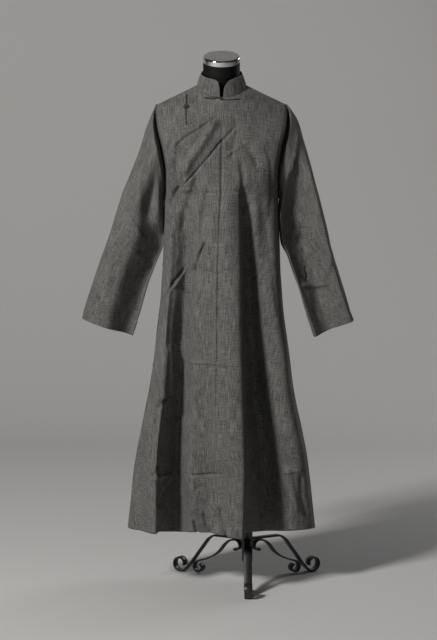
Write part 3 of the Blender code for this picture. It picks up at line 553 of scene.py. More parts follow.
# creases placed one by one
frontCreases = creaseTable((
    # chest, fanning out from the collar's foot towards the right armpit
    ((-8, 1470, -41, 1418, -69, 1375, -97, 1332, -121, 1286), 125, 130, 110),
    ((57, 1455, 17, 1412, -8, 1388, -35, 1353, -66, 1318, -97, 1282, -124, 1252), -62, 36, 36),
    ((-2, 1476, -35, 1458, -66, 1436, -94, 1419, -118, 1402, -146, 1378), -75, 36, 36),
    ((-17, 1467, -51, 1462, -81, 1455, -106, 1445, -134, 1435), -31, 42, 42),
    ((-57, 1427, -75, 1399, -94, 1375), -30, 80, 60),
    ((48, 1439, 41, 1408, 35, 1378, 29, 1335), -34, 42, 42),
    ((5, 1344, 29, 1362, 57, 1381), 34, 42, 42),
    ((69, 1390, 94, 1353, 118, 1313), -50, 100, 100),
    ((57, 1338, 65, 1292, 69, 1246, 66, 1169), -80, 90, 80),
    ((-128, 1258, -146, 1236, -161, 1212, -171, 1184), -100, 60, 60),
    ((-160, 1160, -163, 1126, -167, 1089), -41, 42, 42),
    ((-134, 1399, -140, 1338, -143, 1270), -40, 80, 60),
    ((124, 1399, 152, 1338, 155, 1246, 149, 1138), -30, 80, 70),
    ((-136, 1446, -152, 1413, -164, 1383, -173, 1353), -40, 60, 60),
    # waist and upper skirt
    ((-69, 1307, -88, 1246, -112, 1178, -121, 1104), -70, 120, 100),
    ((-41, 1252, -54, 1178, -66, 1092), -65, 110, 90),
    ((-45, 1092, -63, 1055, -74, 1031, -83, 1009, -97, 984), -105, 46, 46),
    ((-109, 1009, -124, 988, -143, 966, -158, 945, -174, 920, -187, 889), -85, 42, 42),
    ((-103, 1012, -117, 989, -134, 966, -152, 938), 58, 42, 42),
    ((-78, 1024, -94, 969, -103, 908, -121, 831, -134, 754), -90, 200, 180),
    ((-60, 948, -69, 920, -78, 892), 37, 42, 42),
    ((-134, 1200, -152, 1107, -164, 1024), 40, 120, 80),
    ((-23, 1215, -29, 1123, -35, 984), 30, 120, 100),
    ((109, 1215, 118, 1092, 143, 908), 26, 100, 90),
    ((131, 1184, 152, 1031, 177, 846), -26, 80, 80),
    # lower skirt
    ((-155, 614, -186, 587, -214, 557), -119, 42, 42),
    ((-203, 548, -215, 514, -224, 478, -229, 438), -93, 42, 42),
    ((-186, 401, -207, 373, -223, 352), -70, 60, 50),
    ((-223, 353, -189, 353, -155, 353), 80, 42, 80),
    ((-158, 349, -177, 333, -189, 309), 80, 80, 60),
    ((-164, 330, -189, 278, -201, 256), -68, 80, 42),
    ((-100, 361, -57, 364, 2, 372), -54, 42, 42),
    ((-51, 333, -72, 322, -94, 312), -34, 42, 42),
    ((-98, 241, -86, 210, -71, 173), -170, 44, 44),
    ((-58, 247, -49, 219, -35, 176), -93, 42, 42),
    ((-12, 269, -6, 232, 8, 170), -170, 70, 44),
    ((28, 831, 28, 539, 29, 216), -26, 56, 50),
    ((210, 385, 220, 324, 241, 232), 70, 60, 80),
    ((247, 370, 250, 293, 272, 213), -70, 70, 70),
    ((189, 324, 204, 278, 210, 226), -60, 60, 80),
    ((-164, 772, -158, 686, -158, 619, -180, 579), 110, 80, 220),
    # centre seam: a groove, and the soft swell beside it
    ((0, 1500, 0, 1000, 0, 160), -42, 44, 44),
    ((12, 1300, 12, 980, 13, 680, 14, 340), 260, 330, 600),
    # lines pressed in storage
    ((-150, 1246, -60, 1249, 72, 1249), 31, 42, 60),
    ((-120, 712, -20, 714, 60, 712), 37, 60, 42),
    ((190, 366, 222, 372, 252, 371), 48, 100, 42),
))
backCreases = creaseTable((
    ((-80, 1470, -20, 1400, 50, 1330), 60, 200, 35),
    ((110, 1450, 60, 1370, 30, 1280), 60, 40, 200),
    ((-150, 1420, -130, 1330, -128, 1240), 50, 100, 100),
    ((155, 1420, 140, 1330, 132, 1230), 50, 100, 100),
    ((-100, 1300, -110, 1150, -120, 980), -60, 120, 90),
    ((-60, 1260, -70, 1120, -84, 960), 50, 100, 120),
    ((70, 1240, 80, 1100, 86, 960), -60, 120, 100),
    ((10, 1120, 50, 1040, 78, 940), 70, 180, 35),
    ((-60, 930, -20, 870, 0, 800), 60, 160, 35),
    ((150, 640, 180, 600, 206, 540), 70, 160, 35),
    ((-220, 380, -190, 340, -160, 320), 60, 120, 40),
    ((-170, 260, -160, 215, -156, 178), -70, 50, 80),
    ((60, 270, 70, 220, 74, 178), -70, 50, 80),
    ((-150, 1249, 150, 1246), 18, 24, 60),
    ((-190, 708, 200, 704), 20, 60, 24),
    ((-230, 368, 230, 372), 30, 80, 24),
))


def creaseRise(x, z, creases):
    # rise * exp(-(d/w)^2), w different on the route's two sides, fading at both ends
    total = np.zeros(x.shape)
    for route, rise, leftWidth, rightWidth in creases:
        lengths = np.linalg.norm(np.diff(route, axis=0), axis=1)
        before = runAlong(route)
        near = np.full(x.shape, 1e9)
        side = np.zeros(x.shape)
        share = np.zeros(x.shape)
        for index, (a, b) in enumerate(zip(route, route[1:])):
            ahead = (b - a) / lengths[index]
            along = np.clip((x - a[0]) * ahead[0] + (z - a[1]) * ahead[1], 0, lengths[index])
            dx = x - a[0] - ahead[0] * along
            dz = z - a[1] - ahead[1] * along
            gap = np.hypot(dx, dz)
            closer = gap < near
            near = np.where(closer, gap, near)
            side = np.where(closer, ahead[0] * dz - ahead[1] * dx, side)
            share = np.where(closer, (before[index] + along) / before[-1], share)
        fade = ease(np.minimum(share, 1 - share) / creaseFade)
        total += fade * rise * np.exp(-((near / np.where(side > 0, leftWidth, rightWidth)) ** 2))
    return total


# waves in number, least and most across and upright in radians a metre, most lean, height over length
slackCut = {"waves": 14, "across": (25, 120), "upright": (2, 16), "lean": 0.25, "rise": 0.03}


def slackRise(x, z, seed):
    # the cloth's own unevenness: a sum of long upright waves with drifting crests
    dice = np.random.default_rng(seed)
    total = np.zeros(x.shape)
    for _ in range(slackCut["waves"]):
        across = dice.uniform(*slackCut["across"])
        upright = dice.uniform(*slackCut["upright"])
        lean = dice.uniform(-slackCut["lean"], slackCut["lean"])
        phase = dice.uniform(0, 2 * math.pi, 2)
        total += np.sin(across * (x + lean * z) + phase[0]) * np.sin(upright * z + phase[1]) / across
    return total * slackCut["rise"]


def clothRise(x, z, face):
    front = creaseRise(x, z, frontCreases) + slackRise(x, z, 5)
    back = creaseRise(x, z, backCreases) + slackRise(x, z, 9)
    return np.where(face < 0, front, back)


def placesBetween(start, end, count, extra=()):
    # evenly spaced places, closer together round some heights of the skirt
    places = np.linspace(start, end, count)
    heights = lengthRows[:, 2]
    for z in extra:
        steps = z + np.linspace(-0.012, 0.012, 9)
        near = np.interp(steps, heights[:neckStart], np.arange(neckStart))
        if start >= shoulder:
            near = backHem - near
        places = np.concatenate([places, near[(near > start) & (near < end)]])
    return np.unique(np.round(places, 4))


pressedHeights = (0.37, 0.71, 1.235)


def clothUv(grid):
    # straight grain: metres across over x and y, metres along over y and z, both from the first edge
    across = np.linalg.norm(np.diff(grid[..., :2], axis=1), axis=2)
    u = np.abs(grid[:, :1, 0]) + np.concatenate([np.zeros((len(grid), 1)), np.cumsum(across, axis=1)], axis=1)
    along = np.linalg.norm(np.diff(grid[..., 1:], axis=0), axis=2)
    v = grid[:1, :, 2] + np.concatenate([np.zeros((1, grid.shape[1])), np.cumsum(along, axis=0)], axis=0)
    return np.stack([u, v], axis=-1)


def bandUv(grid):
    # metres along the base of a band and metres up from it
    run = runAlong(grid[0])
    up = np.linalg.norm(grid - grid[:1], axis=2)
    return np.stack(np.broadcast_arrays(run[None, :], up), axis=-1)


# share of the width calmed by the armhole and by the neckline, and places by the neck
calmCut = {"side": 0.06, "seam": 0.1, "neck": 0.8}


def layCloth(side, columns, places, inset, seamRows, sideRows):
    # base surface pushed along its normals by creases and slack, less the inset; the rows named
    # aren't pushed sideways at the seam, nor forwards at the side
    base = robePoint(side, columns, places)
    normals = facingOut(base, gridNormals(base))
    normals[seamRows, 0, 0] = 0.0
    normals[sideRows, -1, 1] = 0.0
    normals = unit(normals)
    rise = clothRise(base[..., 0], base[..., 2], np.where(places < shoulder, -1, 1))
    # none at the neckline, the armholes and over the shoulder
    byArmhole = (places > armpitFront) & (places < armpitBack)
    calm = np.where(byArmhole, ease((1 - columns) / calmCut["side"]), 1.0)
    overTop = ease(np.clip(np.abs(places - shoulder) - 1.0, 0, 1))
    byNeck = (places > neckStart - calmCut["neck"]) & (places < neckEnd + calmCut["neck"])
    atNeck = np.where(byNeck, ease(columns / calmCut["seam"]), 1.0)
    outer = base + normals * (rise * calm * overTop * atNeck - inset)[..., None]
    return outer, outer - clothWallThickness * normals


def bodyWalls(side, count, frontRows):
    # front and back of one side in one length of cloth, with no seam on the shoulder
    front, back = evenColumns(side, -1, count), evenColumns(side, 1, count)
    place = np.unique(np.concatenate([
        placesBetween(0, neckStart, frontRows, pressedHeights if side == left else ()),
        np.linspace(neckStart, neckEnd, 64),
        placesBetween(neckEnd, backHem, 105, pressedHeights),
    ]))
    over = part(place, neckStart, neckEnd)[:, None]
    columns = front[None, :] * (1 - over) + back[None, :] * over
    places = np.repeat(place[:, None], count, axis=1)
    inset = np.zeros(places.shape)
    if side == right:
        fade = np.clip((shoulder - places) / (shoulder - neckStart - 0.4), 0, 1)
        byArmpit = places > armpitFront - 0.4
        fade = np.where(byArmpit, fade * np.clip((1 - columns) / 0.05, 0, 1), fade)
        inset = robeCut["underInset"] * fade
    seamRows = (place <= neckStart) | (place >= neckEnd)
    sideRows = (place <= armpitFront) | (place >= armpitBack)
    outer, inner = layCloth(side, columns, places, inset, seamRows, sideRows)
    return outer, inner, place


overlapCut = {
    "edge": ((0.0, 10.0), (0.25, 10.02), (0.5, 9.98), (0.6, 9.45), (0.7, 8.88),
             (0.8, 8.45), (0.88, 7.7), (0.94, 6.8), (1.0, 5.6)),
    "columns": 140, "skirtRows": 190, "edgeRows": 120,
}


def overlapWalls():
    # the outer right front, joined at the centre seam and cut to a curve at the top
    columns = evenColumns(right, -1, overlapCut["columns"])
    edge = np.array(overlapCut["edge"])
    skirt = placesBetween(0, armpitFront - 0.75, overlapCut["skirtRows"], pressedHeights)
    last = skirt[-1]
    fractions = robeFraction(right, columns, -1, robeCut["chestFront"][0][0])
    smooth = through(edge[:, 1:], np.interp(np.clip(fractions, 0, 1), edge[:, 0], np.arange(len(edge))))[:, 0]
    steps = np.linspace(0, 1, overlapCut["edgeRows"])[1:, None]
    upper = last + (smooth[None, :] - last) * steps
    places = np.vstack([np.repeat(skirt[:, None], len(columns), axis=1), upper])
    wide = np.repeat(columns[None, :], len(places), axis=0)
    return layCloth(right, wide, places, 0.0, slice(None), slice(None))


sleeveCut = {
    # in tenths of a mm: outer x, height, inner x, height, depth in front, depth behind, valley
    # down the front
    "right": (
        (2226, 14810, 1800, 12133, 720, 700, 0),
        (2351, 14358, 1795, 12007, 720, 700, 60),
        (2586, 13606, 1790, 11819, 700, 680, 160),
        (2837, 13010, 1790, 11600, 670, 650, 220),
        (3091, 12339, 1800, 11223, 640, 620, 260),
        (3370, 11474, 1830, 10753, 600, 580, 280),
        (3640, 10659, 2085, 10095, 570, 550, 260),
        (3881, 10001, 2289, 9562, 540, 520, 220),
        (4104, 9342, 2470, 8950, 510, 490, 160),
        (4286, 8778, 2649, 8339, 490, 470, 120),
        (4373, 8402, 2806, 7847, 480, 460, 100),
    ),
    "left": (
        (2257, 14907, 1800, 12140, 720, 700, 0),
        (2383, 14578, 1795, 12020, 720, 700, 60),
        (2586, 13938, 1790, 11860, 700, 680, 140),
        (2812, 13136, 1790, 11640, 670, 650, 200),
        (3003, 12434, 1800, 11349, 640, 620, 240),
        (3292, 11302, 1850, 10822, 600, 580, 260),
        (3486, 10502, 2044, 10408, 570, 550, 260),
        (3709, 9703, 2179, 10001, 540, 520, 240),
        (3934, 8966, 2398, 9383, 510, 490, 180),
        (4060, 8590, 2649, 8584, 490, 470, 120),
        (4154, 8370, 2909, 7838, 480, 460, 100),
    ),
    "valleyPlace": {"right": 0.62, "left": 0.72}, "valleyWidth": 0.15, "valleyGain": 1.5,
    "armholeFade": 4.0, "rows": 150,
    "hemShare": 0.905, "hemStep": 0.0011, "rollIn": 0.05, "edgePlace": -0.06, "edgeWidth": 0.26,
    # lower sleeve: share across of the foot and the crest of the slope, height left inside it,
    # height of the inner edge, first and last place of the change
    "slope": {"right": (0.08, 0.56, -0.26, 0.0, 3.4, 5.4), "left": (0.36, 0.92, -0.04, 1.05, 1.2, 3.4)},
}
# creases of the sleeves as on the body; routes in x and height, x towards the outside
sleeveCreases = {
    "right": creaseTable((
        ((240, 1370, 229, 1380, 220, 1390), -50, 30, 30),
        ((262, 1290, 250, 1240, 262, 1200), 40, 40, 80),
        ((290, 1170, 262, 1125, 236, 1085), 50, 120, 35),
        ((310, 1090, 270, 1052, 246, 1030), 50, 120, 35),
        ((330, 1110, 350, 1000, 372, 900), 40, 140, 140),
        ((360, 1010, 372, 940, 388, 880), -30, 80, 80),
        ((392, 905, 400, 870, 388, 830), -24, 30, 50),
    )),
    "left": creaseTable((
        ((238, 1440, 228, 1360, 214, 1290), 50, 110, 60),
        ((270, 1260, 258, 1150, 240, 1060), -60, 110, 80),
        ((300, 1200, 290, 1100, 270, 1020), 50, 100, 120),
        ((334, 948, 290, 938, 248, 944), 60, 30, 120),
        ((244, 994, 262, 968, 284, 950), -50, 34, 50),
        ((262, 1008, 270, 976, 266, 950), -40, 36, 36),
        ((318, 1048, 322, 1026), -40, 40, 40),
        ((350, 1060, 330, 990, 318, 955), 50, 80, 100),
    )),
    "back": creaseTable((
        ((215, 1350, 205, 1260, 196, 1170), 60, 100, 100),
        ((270, 1230, 250, 1160, 236, 1090), 60, 140, 40),
        ((330, 1110, 290, 1080, 252, 1060), 50, 120, 35),
        ((350, 1020, 310, 1010, 270, 1000), 50, 120, 35),
        ((330, 1000, 350, 930, 368, 870), 40, 140, 140),
    )),
}


def armholeLoop(outer, inner, place):
    # the loop of cloth at the shoulder, from the armpit up the front and down the back
    keep = (place >= armpitFront) & (place <= armpitBack)
    loops = []
    for wall in (outer, inner):
        edge = wall[keep, -1]
        edge[0] = (edge[0] + edge[-1]) / 2
        loops.append(edge[:-1])
    return loops[0], loops[1], int(np.argmin(np.abs(place[keep] - shoulder)))


def sleeveWalls(side, body):
    # ellipses strung along the arm, blended from the armhole loop, with a valley down the front
    name = "right" if side == right else "left"
    table = np.array(sleeveCut[name]) / 10000
    outerLoop, innerLoop, top = armholeLoop(*body)
    ring = np.vstack([outerLoop, outerLoop[:1]])
    run = runAlong(ring)
    count = len(outerLoop)
    turn = np.empty(count)
    turn[: top + 1] = math.pi * run[: top + 1] / run[top]
    turn[top:] = math.pi * (1 + (run[top:count] - run[top]) / (run[-1] - run[top]))
    place = np.concatenate([np.linspace(-0.6, 1, 26), np.linspace(1, len(table) - 1, sleeveCut["rows"])[1:]])
    row = through(table, np.clip(place, 0, None))
    outerX, outerZ, innerX, innerZ, front, back, valley = [row[:, k, None] for k in range(7)]
    pointed = ease(np.clip(1 - place / sleeveCut["armholeFade"], 0, 1))[:, None]
    across = pointed * (1 - np.abs(turn / math.pi - 1)) + (1 - pointed) * (1 - np.cos(turn)) / 2
    x = innerX + (outerX - innerX) * across
    z = innerZ + (outerZ - innerZ) * across
    isFront = turn < math.pi
    y = -np.sin(turn) * np.where(isFront, front, back)
    dent = np.exp(-(((1 - across) - sleeveCut["valleyPlace"][name]) / sleeveCut["valleyWidth"]) ** 2)
    # the valley runs out above the elbow; below it the front stands on the outside and slopes
    # back to the inside
    foot, crest, low, edge, first, last = sleeveCut["slope"][name]
    turned = ease((place - first) / (last - first))[:, None]
    y = y + np.where(isFront, sleeveCut["valleyGain"] * valley * dent * np.sin(turn) * (1 - turned), 0)
    rollOut = np.sqrt(np.clip(1 - (np.clip(across - crest, 0, 1) / (1 - crest)) ** 2, 0, 1))
    rollIn = np.sqrt(np.clip(1 - (1 - np.clip(across / sleeveCut["rollIn"], 0, 1)) ** 2, 0, 1))
    height = low + (1 - low) * ease((across - foot) / (crest - foot))
    height = height + edge * np.exp(-(((across - sleeveCut["edgePlace"]) / sleeveCut["edgeWidth"]) ** 2))
    sloped = -front * rollOut * rollIn * height
    y = np.where(isFront, y * (1 - turned) + sloped * turned, y)
    rings = np.stack([side * x, y, z], axis=-1)
    share = ease((place + 0.6)[:, None, None] / np.array([2.0, 1.1, 2.0]))
    grid = outerLoop[None] * (1 - share) + rings * share
    normals = gridNormals(grid, closed=True)
    middle = grid.mean(axis=1, keepdims=True)
    if np.sum((grid - middle) * normals) < 0:
        normals = -normals
    frontRise = creaseRise(side * grid[..., 0], grid[..., 2], sleeveCreases[name])
    backRise = creaseRise(side * grid[..., 0], grid[..., 2], sleeveCreases["back"])
    slack = slackRise(grid[..., 0] + 0.3 * grid[..., 1], grid[..., 2], 13 + side)
    rise = np.where(isFront[None, :], frontRise, backRise) * np.abs(np.sin(turn)) ** 0.5 + slack
    # the turned hem is a little thicker than the sleeve
    along = np.clip(place, 0, None)[:, None] / (len(table) - 1)
    rise = rise + sleeveCut["hemStep"] * ease((along - sleeveCut["hemShare"]) / 0.006)
    outer = grid + normals * (rise * ease(place / 1.2)[:, None])[..., None]
    inner = outer - clothWallThickness * normals
    inner[0] = innerLoop
    alongUv = runAlong(grid.mean(1))
    uv = np.stack(np.broadcast_arrays(run[None, :], alongUv[:, None]), axis=-1)
    return outer, inner, uv


collarCut = {
    "topHalfWidth": 0.063, "topFront": 0.068, "topBack": 0.061, "topSideZ": 1.6045, "topDip": 0.021,
    "gapAngle": 3.6,
    # degrees past the gap and the share of the height reached there
    "edge": {"right": ((0, 0.03), (0.9, 0.35), (2.4, 0.66), (6.5, 0.88), (15, 0.975), (30, 1.0)),
             "left": ((0, 0.03), (1.1, 0.3), (4.0, 0.58), (11.0, 0.8), (22, 0.94), (40, 1.0))},
    "columns": 220, "rows": 22,
}


def collarPoint(angle, up):
    # straight from the neckline to a smaller oval above it, angle from the centre front
    turn = np.abs(angle)
    base = neckline(turn)
    forward = np.cos(turn)
    top = np.stack([
        collarCut["topHalfWidth"] * np.sin(turn),
        -forward * np.where(forward > 0, collarCut["topFront"], collarCut["topBack"]),
        collarCut["topSideZ"] - collarCut["topDip"] * forward,
    ], axis=-1)
    point = base + (top - base) * up[..., None]
    point[..., 0] *= np.sign(angle)
    return point


def collarWalls():
    gap = math.radians(collarCut["gapAngle"])
    share = np.linspace(0, 1, collarCut["columns"]) ** 1.5
    turns = gap + (math.pi - gap) * share
    angles = np.concatenate([-turns, turns[::-1][1:]])
    past = np.degrees(np.abs(angles) - gap)
    edges = {}
    for name, table in collarCut["edge"].items():
        table = np.array(table)
        places = np.interp(past, table[:, 0], np.arange(len(table)))
        edges[name] = through(table[:, 1:], places)[:, 0]
    rounding = np.where(angles < 0, edges["right"], edges["left"])
    up = np.linspace(0, 1, collarCut["rows"])[:, None] * rounding[None, :]
    outer = collarPoint(np.repeat(angles[None, :], collarCut["rows"], axis=0), up)
    normals = facingOut(outer, gridNormals(outer))
    # padded stand: a soft swell between its edges
    swell = 0.0012 * np.sin(np.pi * np.clip(up, 0, 1)) + 0.001
    outer = outer + normals * swell[..., None]
    return outer, outer - 1.3 * clothWallThickness * normals


bodyRight = bodyWalls(right, 100, 120)
bodyLeft = bodyWalls(left, 106, 230)
overlap = overlapWalls()
sleeveRight = sleeveWalls(right, bodyRight)
sleeveLeft = sleeveWalls(left, bodyLeft)
collar = collarWalls()
# walls, whether they close to a ring, UVs, flat width and length of the cut, its area, and the
# solid that the piece stands for
clothCuts = {
    "bodyRight": (bodyRight, False, clothUv(bodyRight[0]), (0.45, 2.8), 0.92, "body_right"),
    "bodyLeft": (bodyLeft, False, clothUv(bodyLeft[0]), (0.48, 2.8), 1.0, "body_left"),
    "overlapFront": (overlap, False, clothUv(overlap[0]), (0.46, 1.33), 0.46, "overlap_front"),
    "sleeveRight": (sleeveRight, True, sleeveRight[2], (0.58, 0.62), 0.255, "sleeve_right"),
    "sleeveLeft": (sleeveLeft, True, sleeveLeft[2], (0.58, 0.62), 0.237, "sleeve_left"),
    "standingCollar": (collar, False, bandUv(collar[0]), (0.42, 0.05), 0.02, "collar"),
}
for name, (walls, closed, uv, flat, area, node) in clothCuts.items():
    piece = clothWall(name, walls[0], walls[1], closed, uv, wool)
    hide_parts(node)
print("robe made")


cordCut = {
    "radius": 0.00085, "spacing": 0.0011, "loopRadius": 0.0042, "knotRadius": 0.0036,
    "strand": 0.0011, "starReach": 0.0088, "starStrand": 0.0012,
    # side of the robe, whether it ends in the knot, rows of x distance and place from the sewn end
    "front": {
        "collarKnot": ("collar_knot", right, True,
            ((0.054, 10.66), (0.036, 10.4), (0.018, 10.12), (0.003, 9.86))),
        "collarLoop": ("collar_loop", left, False,
            ((0.054, 10.46), (0.034, 10.18), (0.014, 9.86), (0.002, 9.84))),
        "shoulderKnot": ("shoulder_knot", right, True, ((0.109, 11.5), (0.109, 10.9), (0.109, 10.22))),
        "shoulderLoop": ("shoulder_loop", right, False, ((0.109, 8.95), (0.109, 9.45), (0.109, 10.22))),
    },
    # columns where the loop leaves the front, turns the side and meets the knot, and the knot's end
    "sideRun": (0.976, 0.999, 0.968, 0.86),
    "side": {"underarm": 1.165, "waist": 1.01, "hip": 0.85, "thigh": 0.69},
}


def columnAt(side, x, place):
    fine = np.linspace(0, 1, 300)
    return np.interp(x, np.abs(robePoint(side, fine, place)[:, 0]), fine)


def clothFrame(side, column, place):
    # point on the cloth with its creases, and the direction out of it
    small = 0.01
    here = robePoint(side, column, place)
    across = robePoint(side, column + small, place) - robePoint(side, column - small, place)
    along = robePoint(side, column, place + small) - robePoint(side, column, place - small)
    out = unit(np.cross(across, along))
    sign = np.where(np.sum(here * np.array([1.0, 1.0, 0.0]) * out, axis=-1) < 0, -1.0, 1.0)
    out = out * sign[..., None]
    face = np.where(place < shoulder, -1, 1)
    return here + out * clothRise(here[..., 0], here[..., 2], face)[..., None], out


def tubeAlong(name, path, radius, sides=10):
    # circles square to a path; their frame is carried along it with the least turning
    tangent = unit(np.gradient(path, axis=0))
    frames = [unit(np.cross(tangent[0], np.array([0.31, 0.83, 0.47])))]
    for step in tangent[1:]:
        turned = frames[-1] - step * (frames[-1] @ step)
        frames.append(unit(turned))
    sideway = np.array(frames)
    upward = np.cross(tangent, sideway)
    turn = np.linspace(0, 2 * math.pi, sides, endpoint=False)
    radius = np.broadcast_to(radius, (len(path),))[:, None, None]
    rings = path[:, None] + radius * (
        sideway[:, None] * np.cos(turn)[None, :, None] + upward[:, None] * np.sin(turn)[None, :, None])
    return tubePiece(name, rings, 2 * math.pi * float(radius.mean()), cord)


def joinPieces(pieces, name):
    # one object from several meshes of the same finish
    main = pieces[0]
    chosen = {"active_object": main, "selected_editable_objects": pieces, "selected_objects": pieces}
    with bpy.context.temp_override(**chosen):
        bpy.ops.object.join()
    main.name = name
    main.data.name = name
    return main


def knotPath(centre, across, ahead, out, size):
    # a button knot: three leads wound four times over a small ball
    t = np.linspace(0, 6 * math.pi, 220)
    r = size * (0.62 + 0.38 * np.cos(4 * t / 3))
    lift = size * (0.62 + 0.42 * np.sin(8 * t / 3))
    return centre + across * (r * np.cos(t))[:, None] + ahead * (r * np.sin(t))[:, None] + out * lift[:, None]


def closureLeg(name, node, centres, outs, knot, star=False):
    # a doubled cord sewn down along a route, ending in a button knot or in a loop round it
    centres = centres + outs * cordCut["radius"] * 0.7
    ahead = unit(np.gradient(centres, axis=0))
    across = unit(np.cross(ahead, outs))
    spacing = cordCut["spacing"]
    half = np.linspace(0, math.pi, 9)
    startTurn = centres[0] + across[0] * (spacing * np.cos(half))[:, None]
    startTurn = startTurn - ahead[0] * (spacing * np.sin(half))[:, None]
    one = centres + across * spacing
    other = centres - across * spacing
    if knot:
        path = np.vstack([one[::-1], startTurn[1:-1], other])
        parts = [tubeAlong(name, path, cordCut["radius"])]
        centre = centres[-1]
        winding = knotPath(centre, across[-1], ahead[-1], outs[-1], cordCut["knotRadius"])
        parts.append(tubeAlong(name + "Knot", winding, cordCut["strand"], sides=8))
        if star:
            t = np.linspace(0, 2 * math.pi, 240)
            reach = cordCut["starReach"] * (0.55 + 0.45 * np.cos(6 * t))
            flower = centre + across[-1] * (reach * np.cos(t))[:, None]
            flower = flower + ahead[-1] * (reach * np.sin(t))[:, None] + outs[-1] * cordCut["starStrand"]
            parts.append(tubeAlong(name + "Star", flower[:-1], cordCut["starStrand"], sides=8))
    else:
        turn = np.linspace(math.pi * 0.86, -math.pi * 0.86, 26)
        big = cordCut["loopRadius"]
        eye = centres[-1] + ahead[-1] * big * np.cos(turn)[:, None]
        eye = eye + across[-1] * (big * np.sin(turn))[:, None]
        keep = np.linalg.norm(centres - centres[-1], axis=1) > big * 1.35
        path = np.vstack([other[keep][::-1], startTurn[::-1][1:-1], one[keep], eye])
        path = np.vstack([path, other[keep][-1:]])
        parts = [tubeAlong(name, path, cordCut["radius"])]
    piece = joinPieces(parts, name) if len(parts) > 1 else parts[0]
    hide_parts(node)


for name, (node, side, knot, stations) in cordCut["front"].items():
    path = through(stations, np.linspace(0, len(stations) - 1, 30))
    columns = np.array([columnAt(side, x, place) for x, place in path])
    here, out = clothFrame(side, columns, path[:, 1])
    closureLeg(name, node, here, out, knot, star=name == "shoulderKnot")

start, turnAt, meet, end = cordCut["sideRun"]
for name, z in cordCut["side"].items():
    place = np.interp(z, lengthRows[: armpitFront + 1, 2], np.arange(armpitFront + 1))
    onFront = clothFrame(right, np.linspace(start, turnAt, 6), np.full(6, place))
    onBack = clothFrame(right, np.linspace(turnAt, meet, 9), np.full(9, backHem - place))
    here, out = (np.vstack(pair) for pair in zip(onFront, onBack))
    closureLeg(name + "Loop", name + "_loop", here, out, False)
    here, out = clothFrame(right, np.linspace(end, meet, 14), np.full(14, backHem - place))
    closureLeg(name + "Knot", name + "_knot", here, out, True)
print("closures made")


formCut = {
    # height, half width, depth in front, depth behind, roundness
    "rings": (
        (0.875, 0.128, 0.07, 0.082, 2.3), (0.88, 0.136, 0.076, 0.089, 2.3),
        (0.89, 0.14, 0.074, 0.093, 2.3), (0.95, 0.147, 0.075, 0.096, 2.3),
        (1.05, 0.138, 0.074, 0.086, 2.2), (1.15, 0.146, 0.074, 0.088, 2.2),
        (1.25, 0.156, 0.086, 0.09, 2.2), (1.33, 0.159, 0.093, 0.09, 2.2),
        (1.42, 0.164, 0.085, 0.083, 2.1), (1.48, 0.168, 0.071, 0.071, 1.9),
        (1.505, 0.164, 0.059, 0.061, 1.5), (1.52, 0.16, 0.053, 0.055, 1.2),
        (1.535, 0.136, 0.048, 0.05, 1.1), (1.55, 0.101, 0.045, 0.047, 1.1),
        (1.56, 0.069, 0.047, 0.046, 1.3), (1.572, 0.0585, 0.051, 0.0475, 1.7),
        (1.595, 0.0572, 0.056, 0.0538, 2.0), (1.615, 0.0574, 0.0572, 0.056, 2.0),
    ),
    "sides": 96, "underCloth": 0.0045, "neckRadius": 0.0575, "neckTopZ": 1.64, "tilt": math.radians(20),
}


def addForm():
    # superellipse rings kept under the straight shoulder line of the cloth, up to a tilted neck top
    turn = np.linspace(0, 2 * math.pi, formCut["sides"], endpoint=False)
    table = np.array(formCut["rings"])
    row = through(table, np.linspace(0, len(table) - 1, 170))
    z, wide, front, back, bend = [row[:, k, None] for k in range(5)]
    slope = (robeCut["neckSideZ"] - robeCut["shoulderZ"]) / (robeCut["shoulderX"] - robeCut["neckHalfWidth"])
    line = robeCut["neckHalfWidth"] + (robeCut["neckSideZ"] - formCut["underCloth"] - z) / slope
    wide = np.where(line > formCut["neckRadius"], np.minimum(wide, line), wide)
    cosine, sine = np.cos(turn), np.sin(turn)
    x = wide * np.sign(cosine) * np.abs(cosine) ** (2 / bend)
    y = np.where(sine < 0, front, back) * np.sign(sine) * np.abs(sine) ** (2 / bend)
    rings = np.stack(np.broadcast_arrays(x, y, z), axis=-1)
    radius = formCut["neckRadius"]
    topY = radius * sine
    top = np.stack([radius * cosine, topY, formCut["neckTopZ"] + topY * math.tan(formCut["tilt"])], axis=-1)
    share = np.linspace(0, 1, 12)[1:, None, None]
    rings = np.concatenate([rings, rings[-1] * (1 - share) + top * share])
    piece = tubePiece("dressForm", rings, 0.9, jersey, 50)
    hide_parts("form_torso")


capCut = {"thickness": 0.019, "edge": 0.0045, "foot": 0.0015, "gap": 0.0004, "tip": 0.004, "sides": 128}


def addCap():
    # a turned disc with rounded edges, tilted like the top of the neck
    step = np.linspace(0, math.pi / 2, 10)
    edge, radius, high = capCut["edge"], formCut["neckRadius"], capCut["thickness"]
    foot, tip = capCut["foot"], capCut["tip"]
    low = np.stack([radius - foot * (1 - np.sin(step)), foot * (1 - np.cos(step))], -1)
    rise = np.stack([radius - edge * (1 - np.cos(step)), high - edge * (1 - np.sin(step))], -1)
    dome = np.stack([np.linspace(radius - edge, tip, 12)[1:], np.full(11, high)], -1)
    profile = np.vstack([low, rise, dome])
    turn = np.linspace(0, 2 * math.pi, capCut["sides"], endpoint=False)
    r, h = profile[:, 0, None], profile[:, 1, None] + capCut["gap"]
    x, y = r * np.cos(turn), r * np.sin(turn)
    cosine, sine = math.cos(formCut["tilt"]), math.sin(formCut["tilt"])
    rings = np.stack([x, y * cosine - h * sine, y * sine + h * cosine + formCut["neckTopZ"]], axis=-1)
    piece = tubePiece("neckCap", rings, 0.36, chrome, 50)
    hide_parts("neck_cap")


addForm()
addCap()
print("form made")


